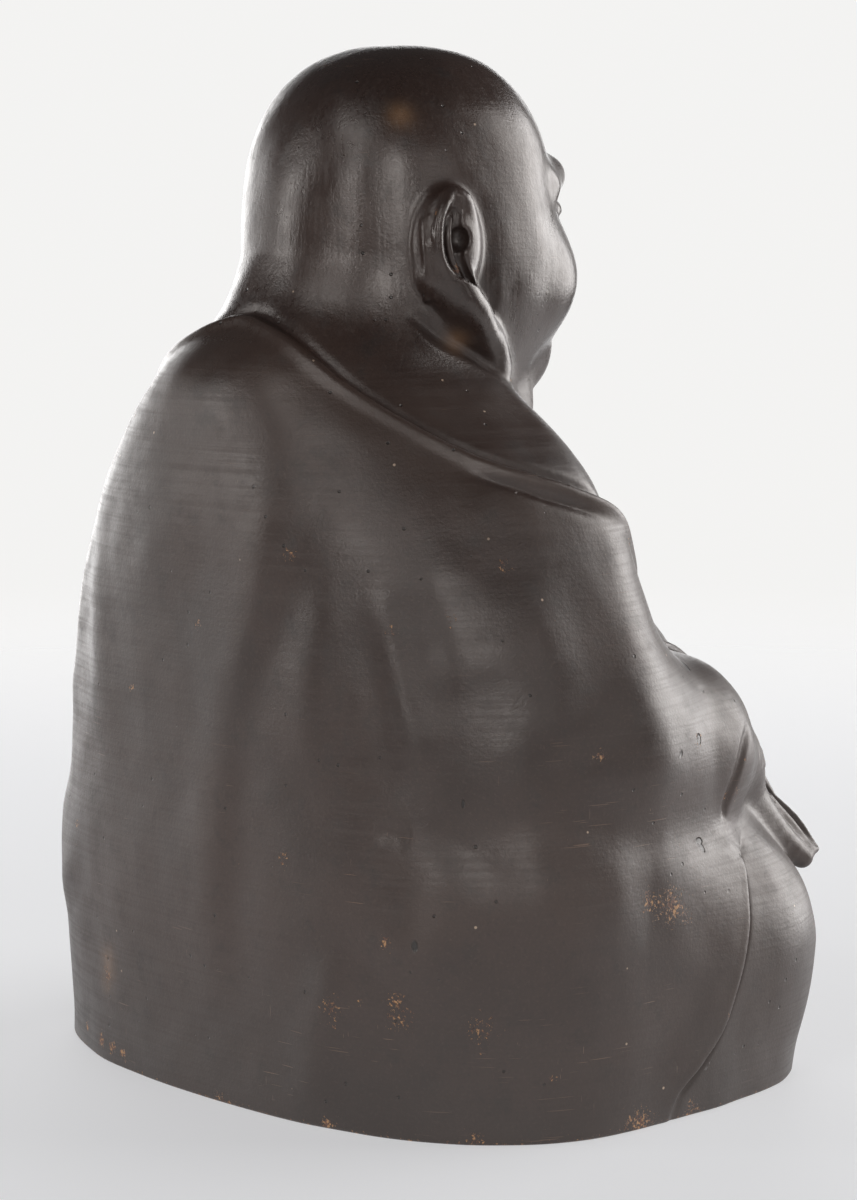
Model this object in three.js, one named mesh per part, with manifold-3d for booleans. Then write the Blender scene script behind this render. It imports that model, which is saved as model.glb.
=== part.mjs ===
// A seated, round-bellied figure in a long robe, cast as one solid with a flat underside.
// x runs to the figure's left, y to its back and z up; the origin is the middle of the underside.
import * as THREE from "three";
import Module from "manifold-3d";

// Driving dimensions in millimetres
const HEIGHT = 400; // floor to crown
const WIDTH = 300; // across the robe
const DEPTH = 240; // back of the robe to the front of the lap

// Fineness of the faceted skin
const LATTICE = 3.2; // millimetres between sampling points
const FACE_LIMIT = 9000; // triangles kept

// The form is laid out in parts: this many make its width, its depth and its height.
const SPAN = new THREE.Vector3(75, 60, 100);
const PART = new THREE.Vector3(WIDTH, DEPTH, HEIGHT).divide(SPAN);
const RIGHT = -1;
const LEFT = 1;

// Distances and blends

const clamp = (v, low, high) => Math.min(high, Math.max(low, v));
const bell = (v) => Math.exp(-v * v);

// Goes smoothly from 0 at the start to 1 at the end.
function rise(v, start, end) {
  const t = clamp((v - start) / (end - start), 0, 1);
  return t * t * (3 - 2 * t);
}

// The lower of two distances, rounded over the blend radius k.
function join(a, b, k) {
  const h = Math.max(k - Math.abs(a - b), 0) / k;
  return Math.min(a, b) - (h * h * k) / 4;
}

// Form a without form b, its edge rounded over k.
const cut = (a, b, k) => -join(-a, b, k);

// A ball with centre c and half axes r, round at exponent 2 and boxier above it.
const ball = (c, r, p = 2) => (x, y, z) => {
  const px = Math.abs(x - c[0]) / r[0];
  const py = Math.abs(y - c[1]) / r[1];
  const pz = Math.abs(z - c[2]) / r[2];
  const q = Math.max((px ** p + py ** p + pz ** p) ** (1 / p), 1e-3);
  const slope = q ** (1 - p) * Math.hypot(px ** (p - 1) / r[0], py ** (p - 1) / r[1], pz ** (p - 1) / r[2]);
  return (q - 1) / slope;
};

// A round limb from a to b, its radius going from ra to rb.
const limb = (a, b, ra, rb) => {
  const d = [b[0] - a[0], b[1] - a[1], b[2] - a[2]];
  const dd = d[0] * d[0] + d[1] * d[1] + d[2] * d[2];
  return (x, y, z) => {
    const px = x - a[0];
    const py = y - a[1];
    const pz = z - a[2];
    const t = clamp((px * d[0] + py * d[1] + pz * d[2]) / dd, 0, 1);
    return Math.hypot(px - t * d[0], py - t * d[1], pz - t * d[2]) - ra - t * (rb - ra);
  };
};

// A round rope along a smooth line through points, its radius going evenly from point to point
const STEPS = 3; // straight spans from one point to the next
const CLEAR = 3; // a rope further off than this changes nothing
function rope(points, radii) {
  const curve = new THREE.CatmullRomCurve3(points.map((p) => new THREE.Vector3(...p)));
  const stops = curve.getPoints(STEPS * (points.length - 1));
  const radius = (i) => {
    const j = Math.min(Math.floor(i / STEPS), radii.length - 2);
    return radii[j] + (i / STEPS - j) * (radii[j + 1] - radii[j]);
  };
  const spans = stops.slice(1).map((end, i) => limb(stops[i].toArray(), end.toArray(), radius(i), radius(i + 1)));
  const middle = new THREE.Box3().setFromPoints(stops).getCenter(new THREE.Vector3());
  const reach = Math.max(...stops.map((stop) => stop.distanceTo(middle))) + Math.max(...radii);
  return (x, y, z) => {
    const off = Math.hypot(x - middle.x, y - middle.y, z - middle.z) - reach;
    return off > CLEAR ? off : Math.min(...spans.map((span) => span(x, y, z)));
  };
}

// The direction that leads straight out of a field's skin
function outward(field, p) {
  const h = 0.05;
  const slope = ["x", "y", "z"].map((axis) => {
    const [a, b] = [p.clone(), p.clone()];
    a[axis] += h;
    b[axis] -= h;
    return field(a.x, a.y, a.z) - field(b.x, b.y, b.z);
  });
  return new THREE.Vector3(...slope).normalize();
}

// A smooth line through points, laid on a field's skin, with the way out and the way across at each stop
function skinLine(field, points, stops) {
  const curve = new THREE.CatmullRomCurve3(points.map((p) => new THREE.Vector3(...p)));
  const line = curve.getPoints(stops).map((at) => {
    for (let i = 0; i < 8; i++) at.addScaledVector(outward(field, at), -0.8 * field(at.x, at.y, at.z));
    return { at, out: outward(field, at) };
  });
  line.forEach((stop, i) => {
    const along = line[Math.min(i + 1, stops)].at.clone().sub(line[Math.max(i - 1, 0)].at);
    stop.across = along.cross(stop.out).normalize();
  });
  const middle = new THREE.Box3().setFromPoints(line.map(({ at }) => at)).getCenter(new THREE.Vector3());
  const reach = Math.max(...line.map(({ at }) => at.distanceTo(middle)));
  return Object.assign(line, { middle, reach });
}

// Whether a spot is surely further than a margin from a line
function farFrom({ middle, reach }, margin, x, y, z) {
  return Math.hypot(x - middle.x, y - middle.y, z - middle.z) > reach + margin;
}

// Where a spot lies by a line: how far from it, how far across it and how far along it, 0 to 1
function beside(line, x, y, z) {
  let gap = Infinity;
  let i = 0;
  let t = 0;
  for (let j = 0; j + 1 < line.length; j++) {
    const a = line[j].at;
    const b = line[j + 1].at;
    const dx = b.x - a.x;
    const dy = b.y - a.y;
    const dz = b.z - a.z;
    const dot = (x - a.x) * dx + (y - a.y) * dy + (z - a.z) * dz;
    const u = clamp(dot / (dx * dx + dy * dy + dz * dz), 0, 1);
    const here = (x - a.x - u * dx) ** 2 + (y - a.y - u * dy) ** 2 + (z - a.z - u * dz) ** 2;
    if (here < gap) [gap, i, t] = [here, j, u];
  }
  const { at: a, across: s } = line[i];
  const { at: b, across: e } = line[i + 1];
  const across =
    (x - a.x - t * (b.x - a.x)) * (s.x + t * (e.x - s.x)) +
    (y - a.y - t * (b.y - a.y)) * (s.y + t * (e.y - s.y)) +
    (z - a.z - t * (b.z - a.z)) * (s.z + t * (e.z - s.z));
  return { gap: Math.sqrt(gap), across, along: (i + t) / (line.length - 1) };
}

// A fold raises the skin along a line, or sinks it, and fades out at its ends.
function foldRelief({ line, wide, high }, x, y, z) {
  if (farFrom(line, 3 * wide, x, y, z)) return 0;
  const { gap, along } = beside(line, x, y, z);
  return gap > 3 * wide ? 0 : high * bell(gap / wide) * rise(along, -0.05, 0.3) * rise(along, 1.05, 0.7);
}

// An edge of cloth: raised on one side of its line, with a lip, and with a groove on the other side
function edgeRelief({ line, thick, reach, soft, lip, groove, start, end }, x, y, z) {
  if (farFrom(line, 2.5 * reach, x, y, z)) return 0;
  const { gap, across, along } = beside(line, x, y, z);
  if (gap > 2.5 * reach) return 0;
  const cloth = thick * bell(Math.min(across, 0) / reach) * rise(across, 1.1 * soft, -0.8 * soft);
  const brim = lip * bell((across + 1.2 * soft) / (1.3 * soft));
  const dip = groove * bell((across - 1.2 * soft) / (1.1 * soft));
  return (cloth + brim - dip) * rise(along, start[0], start[1]) * rise(along, end[0], end[1]);
}

// Robe and torso: half width, back and front at each height
const LOFT = [
  { z: -6, w: 36, back: 28.4, front: -24 },
  { z: 0, w: 36.6, back: 28.8, front: -25 },
  { z: 7, w: 36.6, back: 28.8, front: -25.5 },
  { z: 20, w: 36.8, back: 29.4, front: -23 },
  { z: 34, w: 35.4, back: 29.4, front: -17 },
  { z: 46, w: 32.5, back: 29.6, front: -8.6 },
  { z: 56, w: 28, back: 29.7, front: -4.4 },
  { z: 63, w: 22.4, back: 28.8, front: -2.4 },
  { z: 69, w: 15.5, back: 27.2, front: 0.5 },
  { z: 75, w: 11.8, back: 21, front: 3 },
  { z: 82, w: 8, back: 18, front: 4 },
];
const SPINE = 5; // where the robe is widest, front to back
const BACK_ROUND = 2.5; // exponent of the plan behind that line
const FRONT_ROUND = { low: 3.2, high: 2, from: 4, to: 36 }; // and in front of it, between these two heights

// The loft's values at a height, on a smooth curve through the rows.
function loftAt(z) {
  let i = 0;
  while (i < LOFT.length - 2 && z > LOFT[i + 1].z) i++;
  const s = LOFT[i];
  const e = LOFT[i + 1];
  const before = LOFT[Math.max(0, i - 1)];
  const after = LOFT[Math.min(LOFT.length - 1, i + 2)];
  const span = e.z - s.z;
  const t = clamp((z - s.z) / span, 0, 1);
  const t2 = t * t;
  const t3 = t2 * t;
  const mix = (key) => {
    const m0 = ((e[key] - before[key]) / (e.z - before.z)) * span;
    const m1 = ((after[key] - s[key]) / (after.z - s.z)) * span;
    return (2 * t3 - 3 * t2 + 1) * s[key] + (t3 - 2 * t2 + t) * m0 + (3 * t2 - 2 * t3) * e[key] + (t3 - t2) * m1;
  };
  return [mix("w"), mix("back"), mix("front")];
}

function robeBlock(x, y, z) {
  const [w, back, front] = loftAt(z);
  const deep = y > SPINE ? back - SPINE : SPINE - front;
  const { low, high, from, to } = FRONT_ROUND;
  const p = y > SPINE ? BACK_ROUND : low + (high - low) * rise(z, from, to);
  const px = Math.abs(x) / w;
  const py = Math.abs(y - SPINE) / deep;
  const q = Math.max(Math.pow(px ** p + py ** p, 1 / p), 1e-6);
  const slope = q ** (1 - p) * Math.hypot(px ** (p - 1) / w, py ** (p - 1) / deep);
  const side = (q - 1) / Math.max(slope, 0.02);
  const top = LOFT[LOFT.length - 1].z;
  return -join(-side, top - z, 8);
}

// The shin lies across the front under the robe, and the hands rest on it.
const KNEE = [23.2, -14, 13.2];
const SHIN = [5, -20, 8.5];
const SHIN_ROUND = [9.5, 7.8]; // its radius at the knee and at the other end

// Chest, belly, arms and legs, each with the radius of its blend into the rest
function sideForms(s) {
  const shoulder = [s * 18, 7.5, 54];
  const elbow = [s * 26, 3.5, 34];
  const forearm = [s * 25.4, -8.6, 32.6];
  const wrist = [s * 19.5, -19, 26];
  const hip = [s * 19, 8, 12];
  const hem = [s * 24, -13.5, -4];
  const [knee, shin] = [KNEE, SHIN].map(([x, y, z]) => [s * x, y, z]);
  return [
    [limb(shoulder, elbow, 9, 9.4), 5],
    [limb(elbow, forearm, 9.4, 8.3), 4],
    [limb(forearm, wrist, 8.1, 4.4), 2],
    [limb(hip, knee, 14, 11), 7],
    [limb(knee, hem, 11.2, 9.6), 4],
    [limb(knee, shin, SHIN_ROUND[0], SHIN_ROUND[1]), 6],
  ];
}
const BELLY = { at: [0, -8, 32], size: [23, 20, 18.5] };
const NAVEL = { at: [0, -28.8, 31], size: [1.5, 1.8, 1.2] };
const torso = [
  ...sideForms(RIGHT),
  ...sideForms(LEFT),
  [ball(BELLY.at, BELLY.size), 4],
  [ball([0, 0, 52], [17, 12.5, 13]), 5],
  [ball([-7.5, -8, 51], [8, 5.5, 6.5]), 3],
  [ball([7.5, -8, 51], [8, 5.5, 6.5]), 3],
];
const navel = ball(NAVEL.at, NAVEL.size);

function trunk(x, y, z) {
  let d = robeBlock(x, y, z);
  for (const [form, k] of torso) d = join(d, form(x, y, z), k);
  return d;
}

// The robe's edge runs up the front, over the shoulder, round the nape and down the other side.
const COLLAR_SIDE = [
  [-13, -24, 19], [-18.5, -20, 28], [-20.5, -13, 38], [-23, -7, 47], [-26.5, -1.5, 54],
  [-27.8, 4, 57.5], [-25, 12.5, 60.4], [-19.3, 17.6, 63.4], [-11.9, 21.6, 68.4], [-5, 22.6, 73],
];
const flipped = (points) => points.map(([x, y, z]) => [-x, y, z]).reverse();
const collar = {
  line: skinLine(trunk, [...COLLAR_SIDE, [0, 22.6, 74.6], ...flipped(COLLAR_SIDE)], 60),
  thick: 0.8, reach: 6, soft: 0.9, lip: 0.6, groove: 0.5, start: [0, 0.08], end: [1, 0.92],
};

// The robe's hem lies over the leg along a line up each side.
const HEM_SIDE = [
  [-37.3, 3, -3], [-37.5, 1.4, 2.1], [-37.5, -1, 4.5], [-37, -4, 7.5], [-37.6, -5.8, 11.1], [-37.2, -8.1, 16.7],
  [-36.3, -8.9, 19.4], [-35.2, -9.7, 21.6], [-34, -10.3, 23.3], [-31.7, -12.6, 25],
];
const hems = [HEM_SIDE, flipped(HEM_SIDE)].map((points) => {
  const line = skinLine(trunk, points, 24);
  return { line, thick: 1, reach: 4, soft: 1.2, lip: 0, groove: 0.6, start: [-1, 0], end: [2, 1] };
});
hems[0].end = [1.02, 0.8];
hems[1].start = [-0.02, 0.2];

// Folds of the robe on the right side: ridges are high, valleys below zero.
const RIGHT_FOLDS = [
  { at: [[-11, 24, 66], [-11, 28.6, 52], [-7, 30, 37], [-3.8, 30.5, 24], [-1.8, 30, 8]], wide: 4.5, high: 0.8 },
  { at: [[-15, 25, 60], [-12.7, 28.8, 48.7], [-8.5, 30, 37], [-6.7, 30, 22], [-6.6, 29, 6]], wide: 3, high: -0.55 },
  { at: [[-20.7, 25.9, 49.2], [-22.9, 26.3, 41.3], [-25.3, 26, 31.6]], wide: 1.9, high: -0.3 },
  { at: [[-27, 18.5, 52], [-31, 18.5, 43], [-33, 18, 36]], wide: 3.4, high: -0.2 },
  { at: [[-30.5, 9.3, 52.4], [-35.5, 8.3, 40], [-37.3, 7.5, 29]], wide: 3.4, high: -0.4 },
  { at: [[-19.3, 28.6, 17.3], [-16.5, 28.7, 9], [-15.1, 28.5, 1]], wide: 2.6, high: 0.55 },
  { at: [[-22.9, 27.1, 28.7], [-26.4, 25.7, 28]], wide: 1, high: -0.35 },
  { at: [[-22.4, 17.2, 60], [-26.2, 10.7, 57.6], [-28.2, 2.5, 54.6]], wide: 0.7, high: -0.55 },
];
// These are on both sides.
const PAIRED_FOLDS = [
  { at: [[-18, 26, 52.6], [-16.6, 28.4, 42], [-14.9, 29.4, 31]], wide: 2.8, high: 0.4 },
  { at: [[-20.3, 24.6, 53.6], [-23.2, 25.3, 45.7], [-25.6, 25.1, 38.8], [-26, 25.5, 31.6]], wide: 2.3, high: 0.4 },
  { at: [[-23.6, 23.2, 52], [-26.3, 23.6, 44], [-28.2, 23.4, 37]], wide: 2.4, high: -0.22 },
  { at: [[-24, 20.6, 54.5], [-27.3, 21.2, 47.6], [-29.9, 21.1, 40.6]], wide: 3.6, high: 0.35 },
  { at: [[-28.8, 15.3, 51.8], [-32.9, 15.4, 42.2], [-35, 15, 35.2]], wide: 3.6, high: 0.4 },
  { at: [[-26, 25.4, 29], [-35.5, 15.5, 29], [-37, 2, 28.5], [-33, -8, 26]], wide: 3.6, high: -0.6 },
  { at: [[-31.9, 21.8, 26.5], [-28.6, 24.8, 20.6], [-24.2, 26.9, 14.2]], wide: 4.6, high: 0.7 },
  { at: [[-32, 21, 23], [-36, 13, 22.5], [-37.5, 5, 21.5]], wide: 4.4, high: 0.7 },
];
const drapery = [
  ...RIGHT_FOLDS,
  ...PAIRED_FOLDS,
  ...PAIRED_FOLDS.map((fold) => ({ ...fold, at: flipped(fold.at) })),
].map((fold) => ({ ...fold, line: skinLine(trunk, fold.at, 3 * fold.at.length) }));

// A spot on the shin: how far out to the side, how far round from its top to its front, how far off its skin
function onShin(x, degrees, lift) {
  const t = (KNEE[0] - x) / (KNEE[0] - SHIN[0]);
  const mix = (a, b) => a + t * (b - a);
  const out = mix(SHIN_ROUND[0], SHIN_ROUND[1]) + lift;
  const angle = THREE.MathUtils.degToRad(degrees);
  return [x, mix(KNEE[1], SHIN[1]) - out * Math.sin(angle), mix(KNEE[2], SHIN[2]) + out * Math.cos(angle)];
}

// A sleeve narrows to a flattened mouth on the knee, with a fold over it and a slit between two lips.
function sleeveForms(s) {
  const along = (points) => points.map(([x, y, z]) => [s * x, y, z]);
  const drop = along([
    [24.8, -13.5, 32], [23.8, -18.2, 29.8], [23.8, -20.4, 26.4], [25, -23.4, 22.8], [26.6, -27.2, 19.8],
  ]);
  const inner = along([[20.6, -21.5, 26.6], [22.6, -25, 23.6], [25.8, -28, 20.2]]);
  const fold = along([[24.6, -21.2, 32.6], [24.2, -22.7, 29.4], [23.8, -22, 25.6]]);
  const nearLip = along([[24.2, -24.6, 25.6], [25.4, -26.6, 23], [26.7, -28.4, 20.3]]);
  const farLip = along([[22.4, -26.2, 25.6], [24.4, -28.2, 23.1], [26.5, -29.1, 20.4]]);
  const loop = along([[21.9, -25.4, 27.9], [22.3, -26.6, 25.9]]);
  const slit = along([[23, -25.9, 26.1], [25, -27.9, 23.4], [26.9, -29.3, 20.9]]);
  return {
    added: [
      [rope(drop, [5.8, 4.3, 3.2, 2.4, 1.2]), 1.5],
      [rope(inner, [2.8, 2.3, 1.1]), 1],
      [rope(fold, [0.7, 1.15, 0.6]), 0.6],
      [rope(nearLip, [0.7, 0.75, 0.6]), 0.5],
      [rope(farLip, [0.8, 0.75, 0.6]), 0.4],
      [rope(loop, [0.8, 0.7]), 0.5],
    ],
    slit: rope(slit, [0.35, 0.4, 0.3]),
  };
}
const sleeves = [sleeveForms(RIGHT), sleeveForms(LEFT)];

// A hand: the palm fans out from the wrist, and four fingers and a thumb lie on the shin.
const FINGER = 1.4; // radius
const FINGER_ANGLES = [17, 34, 51, 68]; // places round the shin
function handForms(s) {
  const out = ([x, y, z]) => [s * x, y, z];
  const wrist = out([20, -20.6, 23.6]);
  const fingers = FINGER_ANGLES.flatMap((degrees, i) => {
    const reach = 0.9 * Math.abs(i - 1.2);
    const knuckle = out(onShin(14.4, degrees, 1.9));
    const bend = out(onShin(10.6 + reach / 2, degrees + 1, 2));
    const tip = out(onShin(7 + reach, degrees + 2, 1));
    return [
      [limb(wrist, knuckle, 2.2, 1.25 * FINGER), 1.2],
      [limb(knuckle, bend, 1.1 * FINGER, FINGER), 0.5],
      [limb(bend, tip, FINGER, 0.85 * FINGER), 0.3],
    ];
  });
  const thumb = [[18.4, -21.6, 24.6], [14.6, -23.4, 24], [11.2, -24.2, 22.8]].map(out);
  return [
    ...fingers,
    [limb(thumb[0], thumb[1], 2, FINGER), 1],
    [limb(thumb[1], thumb[2], FINGER, 0.85 * FINGER), 0.4],
  ];
}
const hands = [...handForms(RIGHT), ...handForms(LEFT)];

function body(x, y, z) {
  let d = trunk(x, y, z);
  if (Math.abs(d) < 2.5) {
    for (const fold of drapery) d -= foldRelief(fold, x, y, z);
    for (const edge of [collar, ...hems]) d -= edgeRelief(edge, x, y, z);
  }
  if (y > -5 || z < 8 || z > 42) return d;
  for (const [form, k] of hands) d = join(d, form(x, y, z), k);
  for (const { added } of sleeves) for (const [form, k] of added) d = join(d, form(x, y, z), k);
  for (const { slit } of sleeves) d = cut(d, slit(x, y, z), 0.3);
  return cut(d, navel(x, y, z), 1.5);
}

// Head, in its own axes before it is turned on the neck
const HEAD_TURN = THREE.MathUtils.degToRad(-9); // towards the figure's right
const NECK = 6; // how far back the neck's axis lies
const skull = ball([0, 3.4, 84.6], [13.8, 14.5, 15.4], 2.35);
const headForms = [
  [ball([0, 1, 76], [13.2, 13.4, 11]), 6],
  [limb([0, 7.5, 80], [0, 7.5, 62], 9.6, 15.5), 6],
  [limb([-5, -4.4, 65], [5, -4.4, 65], 3.6, 3.6), 3],
  [ball([0, -9.4, 69.8], [5, 3.2, 3.4]), 4],
];

function faceForms(s) {
  return [
    [ball([s * 6.2, -7.8, 77.6], [4.7, 4.1, 4.8]), 3],
    [limb([s * 2, -11.2, 87], [s * 5.2, -10.6, 87.6], 0.8, 0.9), 2.6],
    [limb([s * 5.2, -10.6, 87.6], [s * 8.6, -8.4, 86.6], 0.9, 0.7), 2.6],
    [ball([s * 1.9, -12.9, 79], [1.35, 1.5, 1.15]), 0.7],
    [limb([0, -12.2, 76], [s * 2.6, -11.7, 75.6], 0.9, 0.7), 1.2],
    [limb([0, -11.9, 73.6], [s * 2, -11.5, 74], 1.1, 0.8), 1.2],
  ];
}
const face = [
  ...faceForms(RIGHT),
  ...faceForms(LEFT),
  [limb([0, -11.6, 86.6], [0, -13.7, 80.4], 0.9, 1.4), 1.6],
  [ball([0, -13.9, 79.7], [1.6, 1.7, 1.5]), 1],
];
const sockets = [RIGHT, LEFT].map((s) => ball([s * 4.9, -13, 84.4], [3.1, 2.1, 1.9]));
const eyes = [RIGHT, LEFT].map((s) => ball([s * 4.9, -9.9, 84], [2.7, 2, 1.8]));
const SIDE_LINES = [
  { at: [[2.5, -11.5, 83.5], [4.9, -12, 83], [7.5, -10.6, 83.7]], wide: 0.4, high: -0.5 },
  { at: [[2.6, -11, 85.6], [5, -11.2, 86], [7.8, -9.8, 85.2]], wide: 0.4, high: -0.25 },
  { at: [[3.2, -12.2, 80], [4.6, -12, 77.8], [5.4, -11.4, 75.2]], wide: 0.6, high: -0.4 },
];
const LINES = [
  { at: [[-5, -11.6, 75.6], [-2.6, -12.6, 74.8], [0, -13, 74.9], [2.6, -12.6, 74.8], [5, -11.6, 75.6]], wide: 0.45, high: -0.7 },
  ...SIDE_LINES,
  ...SIDE_LINES.map((line) => ({ ...line, at: flipped(line.at) })),
];

// An ear with a long lobe: its shell and lobe, the hollow in it, and the rim round that
function earForms(s) {
  const along = (points) => points.map(([x, y, z]) => [s * x, y, z]);
  const rim = along([
    [14.7, 5.1, 80.9], [14.9, 5.3, 82.2], [15.1, 5.6, 83.6], [15.2, 6.3, 85], [15.1, 7.3, 85.5], [15.7, 8.3, 84.8],
    [16, 9.1, 83.4], [16, 9.3, 81.8], [16, 9.1, 79.9], [15.9, 8.4, 78.5], [15.8, 7.4, 77.5], [15.6, 6.3, 76.8],
  ]);
  const lobe = along([
    [15.3, 6.7, 77.4], [15.2, 5.9, 76], [15, 4.7, 74.6], [14.6, 3.4, 72.9], [14.1, 2, 71.3], [13.6, 0.9, 69.6],
  ]);
  const root = along([[14.2, 8.4, 77.6], [14.1, 6.4, 75], [13.8, 4.4, 72.8]]);
  const bay = along([[16.2, 7.5, 83.8], [16.5, 8, 81.8], [16.4, 7.8, 80], [16.2, 6.9, 78.5], [16, 5.7, 77.2]]);
  return {
    solid: [
      [ball([s * 14, 6.9, 80.8], [2.6, 3.4, 5.4]), 1],
      [rope(lobe, [1.5, 1.75, 1.75, 1.55, 1.3, 1]), 1],
      [rope(root, [1.5, 1.5, 1.1]), 1.2],
    ],
    hollow: [[rope(bay, [0.75, 1.1, 1.05, 0.75, 0.4]), 0.3]],
    edges: [
      [rope(rim, [0.6, 0.85, 0.95, 0.95, 0.85, 0.65, 0.6, 0.6, 0.6, 0.6, 0.65, 0.8]), 0.4],
      [ball([s * 14.8, 5.7, 80.6], [0.8, 0.6, 0.9]), 0.4],
    ],
  };
}
const ears = [earForms(RIGHT), earForms(LEFT)];

function bareHead(x, y, z) {
  let d = skull(x, y, z);
  for (const [form, k] of headForms) d = join(d, form(x, y, z), k);
  for (const socket of sockets) d = cut(d, socket(x, y, z), 1.6);
  for (const [form, k] of face) d = join(d, form(x, y, z), k);
  for (const eye of eyes) d = join(d, eye(x, y, z), 0.5);
  return d;
}
const lines = LINES.map((fold) => ({ ...fold, line: skinLine(bareHead, fold.at, 8) }));

function head(x, y, z) {
  let d = bareHead(x, y, z);
  if (Math.abs(d) > 7) return d;
  for (const fold of lines) d -= foldRelief(fold, x, y, z);
  for (const { solid, hollow, edges } of ears) {
    for (const [form, k] of solid) d = join(d, form(x, y, z), k);
    for (const [form, k] of hollow) d = cut(d, form(x, y, z), k);
    for (const [form, k] of edges) d = join(d, form(x, y, z), k);
  }
  return d;
}

function figure(x, y, z) {
  let d = body(x, y, z);
  const hx = Math.cos(HEAD_TURN) * x + Math.sin(HEAD_TURN) * (y - NECK);
  const hy = Math.cos(HEAD_TURN) * (y - NECK) - Math.sin(HEAD_TURN) * x + NECK;
  if (z > 50) d = join(d, head(hx, hy, z), 3);
  return Math.max(d, -5 - z);
}

// Faceted skin: the lattice is cut into tetrahedra, six to a cell, and the skin crosses their edges

const FAR = 4; // parts beyond the form's box that the lattice takes in
const STRIDE = 3; // the form is sampled this coarsely first, and finely only near its skin
function sampled(field) {
  const low = [-SPAN.x / 2 - FAR, -SPAN.y / 2 - FAR, -5 - FAR];
  const high = [SPAN.x / 2 + FAR, SPAN.y / 2 + FAR, SPAN.z + FAR];
  const pitch = [LATTICE / PART.x, LATTICE / PART.y, LATTICE / PART.z];
  const n = low.map((v, i) => STRIDE * Math.ceil((high[i] - v) / pitch[i] / STRIDE) + 1);
  const index = (i, j, k) => (k * n[1] + j) * n[0] + i;
  const at = (i, j, k) => field(low[0] + i * pitch[0], low[1] + j * pitch[1], low[2] + k * pitch[2]);
  const values = new Float32Array(n[0] * n[1] * n[2]).fill(NaN);
  const reach = 1.1 * STRIDE * Math.hypot(...pitch);
  const each = (from, step, run) => {
    for (let k = from[2]; k < step[2]; k++) {
      for (let j = from[1]; j < step[1]; j++) for (let i = from[0]; i < step[0]; i++) run(i, j, k);
    }
  };
  each([0, 0, 0], n.map((v) => (v - 1) / STRIDE + 1), (i, j, k) => {
    values[index(i * STRIDE, j * STRIDE, k * STRIDE)] = at(i * STRIDE, j * STRIDE, k * STRIDE);
  });
  each([0, 0, 0], n.map((v) => (v - 1) / STRIDE), (ci, cj, ck) => {
    const first = [ci * STRIDE, cj * STRIDE, ck * STRIDE];
    const rough = values[index(...first)];
    each(first, first.map((v) => v + STRIDE + 1), (i, j, k) => {
      const here = index(i, j, k);
      if (Math.abs(rough) < reach) values[here] = at(i, j, k);
      else if (Number.isNaN(values[here])) values[here] = rough;
    });
  });
  return { low, pitch, n, index, values };
}

function skin(field) {
  const { low, pitch, n, index, values } = sampled(field);

  // A corner of a cell is a number from 0 to 7, its bits saying which of x, y and z it has gone along.
  const shift = (corner) => index(corner & 1, (corner >> 1) & 1, corner >> 2);
  const position = (corner) => [corner & 1, (corner >> 1) & 1, corner >> 2];
  const paths = [[1, 2, 4], [1, 4, 2], [2, 1, 4], [2, 4, 1], [4, 1, 2], [4, 2, 1]];
  const tets = paths.map(([a, b]) => [0, a, a | b, 7]);
  const places = [];
  const seen = new Map();
  const faces = [];
  const spot = (cell, a, b) => {
    const from = cell + shift(a);
    const key = from * 8 + (a ^ b);
    if (!seen.has(key)) {
      const va = values[from];
      const vb = values[cell + shift(b)];
      const t = clamp(va / (va - vb), 0.03, 0.97);
      const i = from % n[0];
      const j = Math.floor(from / n[0]) % n[1];
      const k = Math.floor(from / (n[0] * n[1]));
      const step = position(a ^ b);
      seen.set(key, places.length);
      places.push([i, j, k].map((v, axis) => low[axis] + (v + t * step[axis]) * pitch[axis]));
    }
    return seen.get(key);
  };

  // The triangles of each of a tetrahedron's 16 cases, each triangle as pairs of its corners
  const cases = tets.map((tet) => {
    return Array.from({ length: 16 }, (_, mask) => {
      const inside = [0, 1, 2, 3].filter((c) => mask & (1 << c));
      const outside = [0, 1, 2, 3].filter((c) => !(mask & (1 << c)));
      const edge = (a, b) => (a < b ? [tet[a], tet[b]] : [tet[b], tet[a]]);
      let loop = [];
      if (inside.length === 1) loop = outside.map((o) => edge(inside[0], o));
      if (inside.length === 3) loop = inside.map((c) => edge(c, outside[0]));
      if (inside.length === 2) {
        const [a, b] = inside;
        const [c, d] = outside;
        loop = [edge(a, c), edge(a, d), edge(b, d), edge(b, c)];
      }
      if (!loop.length) return [];
      const middle = ([a, b]) => new THREE.Vector3(...position(a)).add(new THREE.Vector3(...position(b)));
      const [p, q, r] = loop.map(middle);
      const normal = q.clone().sub(p).cross(r.clone().sub(p));
      const way = new THREE.Vector3();
      outside.forEach((c) => way.addScaledVector(new THREE.Vector3(...position(tet[c])), 1 / outside.length));
      inside.forEach((c) => way.addScaledVector(new THREE.Vector3(...position(tet[c])), -1 / inside.length));
      if (normal.dot(way) < 0) loop.reverse();
      const fan = [[loop[0], loop[1], loop[2]]];
      if (loop.length === 4) fan.push([loop[0], loop[2], loop[3]]);
      return fan;
    });
  });

  for (let k = 0; k + 1 < n[2]; k++) {
    for (let j = 0; j + 1 < n[1]; j++) {
      for (let i = 0; i + 1 < n[0]; i++) {
        const cell = index(i, j, k);
        let corners = 0;
        for (let c = 0; c < 8; c++) if (values[cell + shift(c)] < 0) corners |= 1 << c;
        if (corners === 0 || corners === 255) continue;
        for (let t = 0; t < 6; t++) {
          let mask = 0;
          for (let c = 0; c < 4; c++) if (corners & (1 << tets[t][c])) mask |= 1 << c;
          for (const fan of cases[t][mask]) faces.push(fan.map(([a, b]) => spot(cell, a, b)));
        }
      }
    }
  }
  return { places: places.map((p) => [p[0] * PART.x, p[1] * PART.y, p[2] * PART.z]), faces };
}

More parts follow.
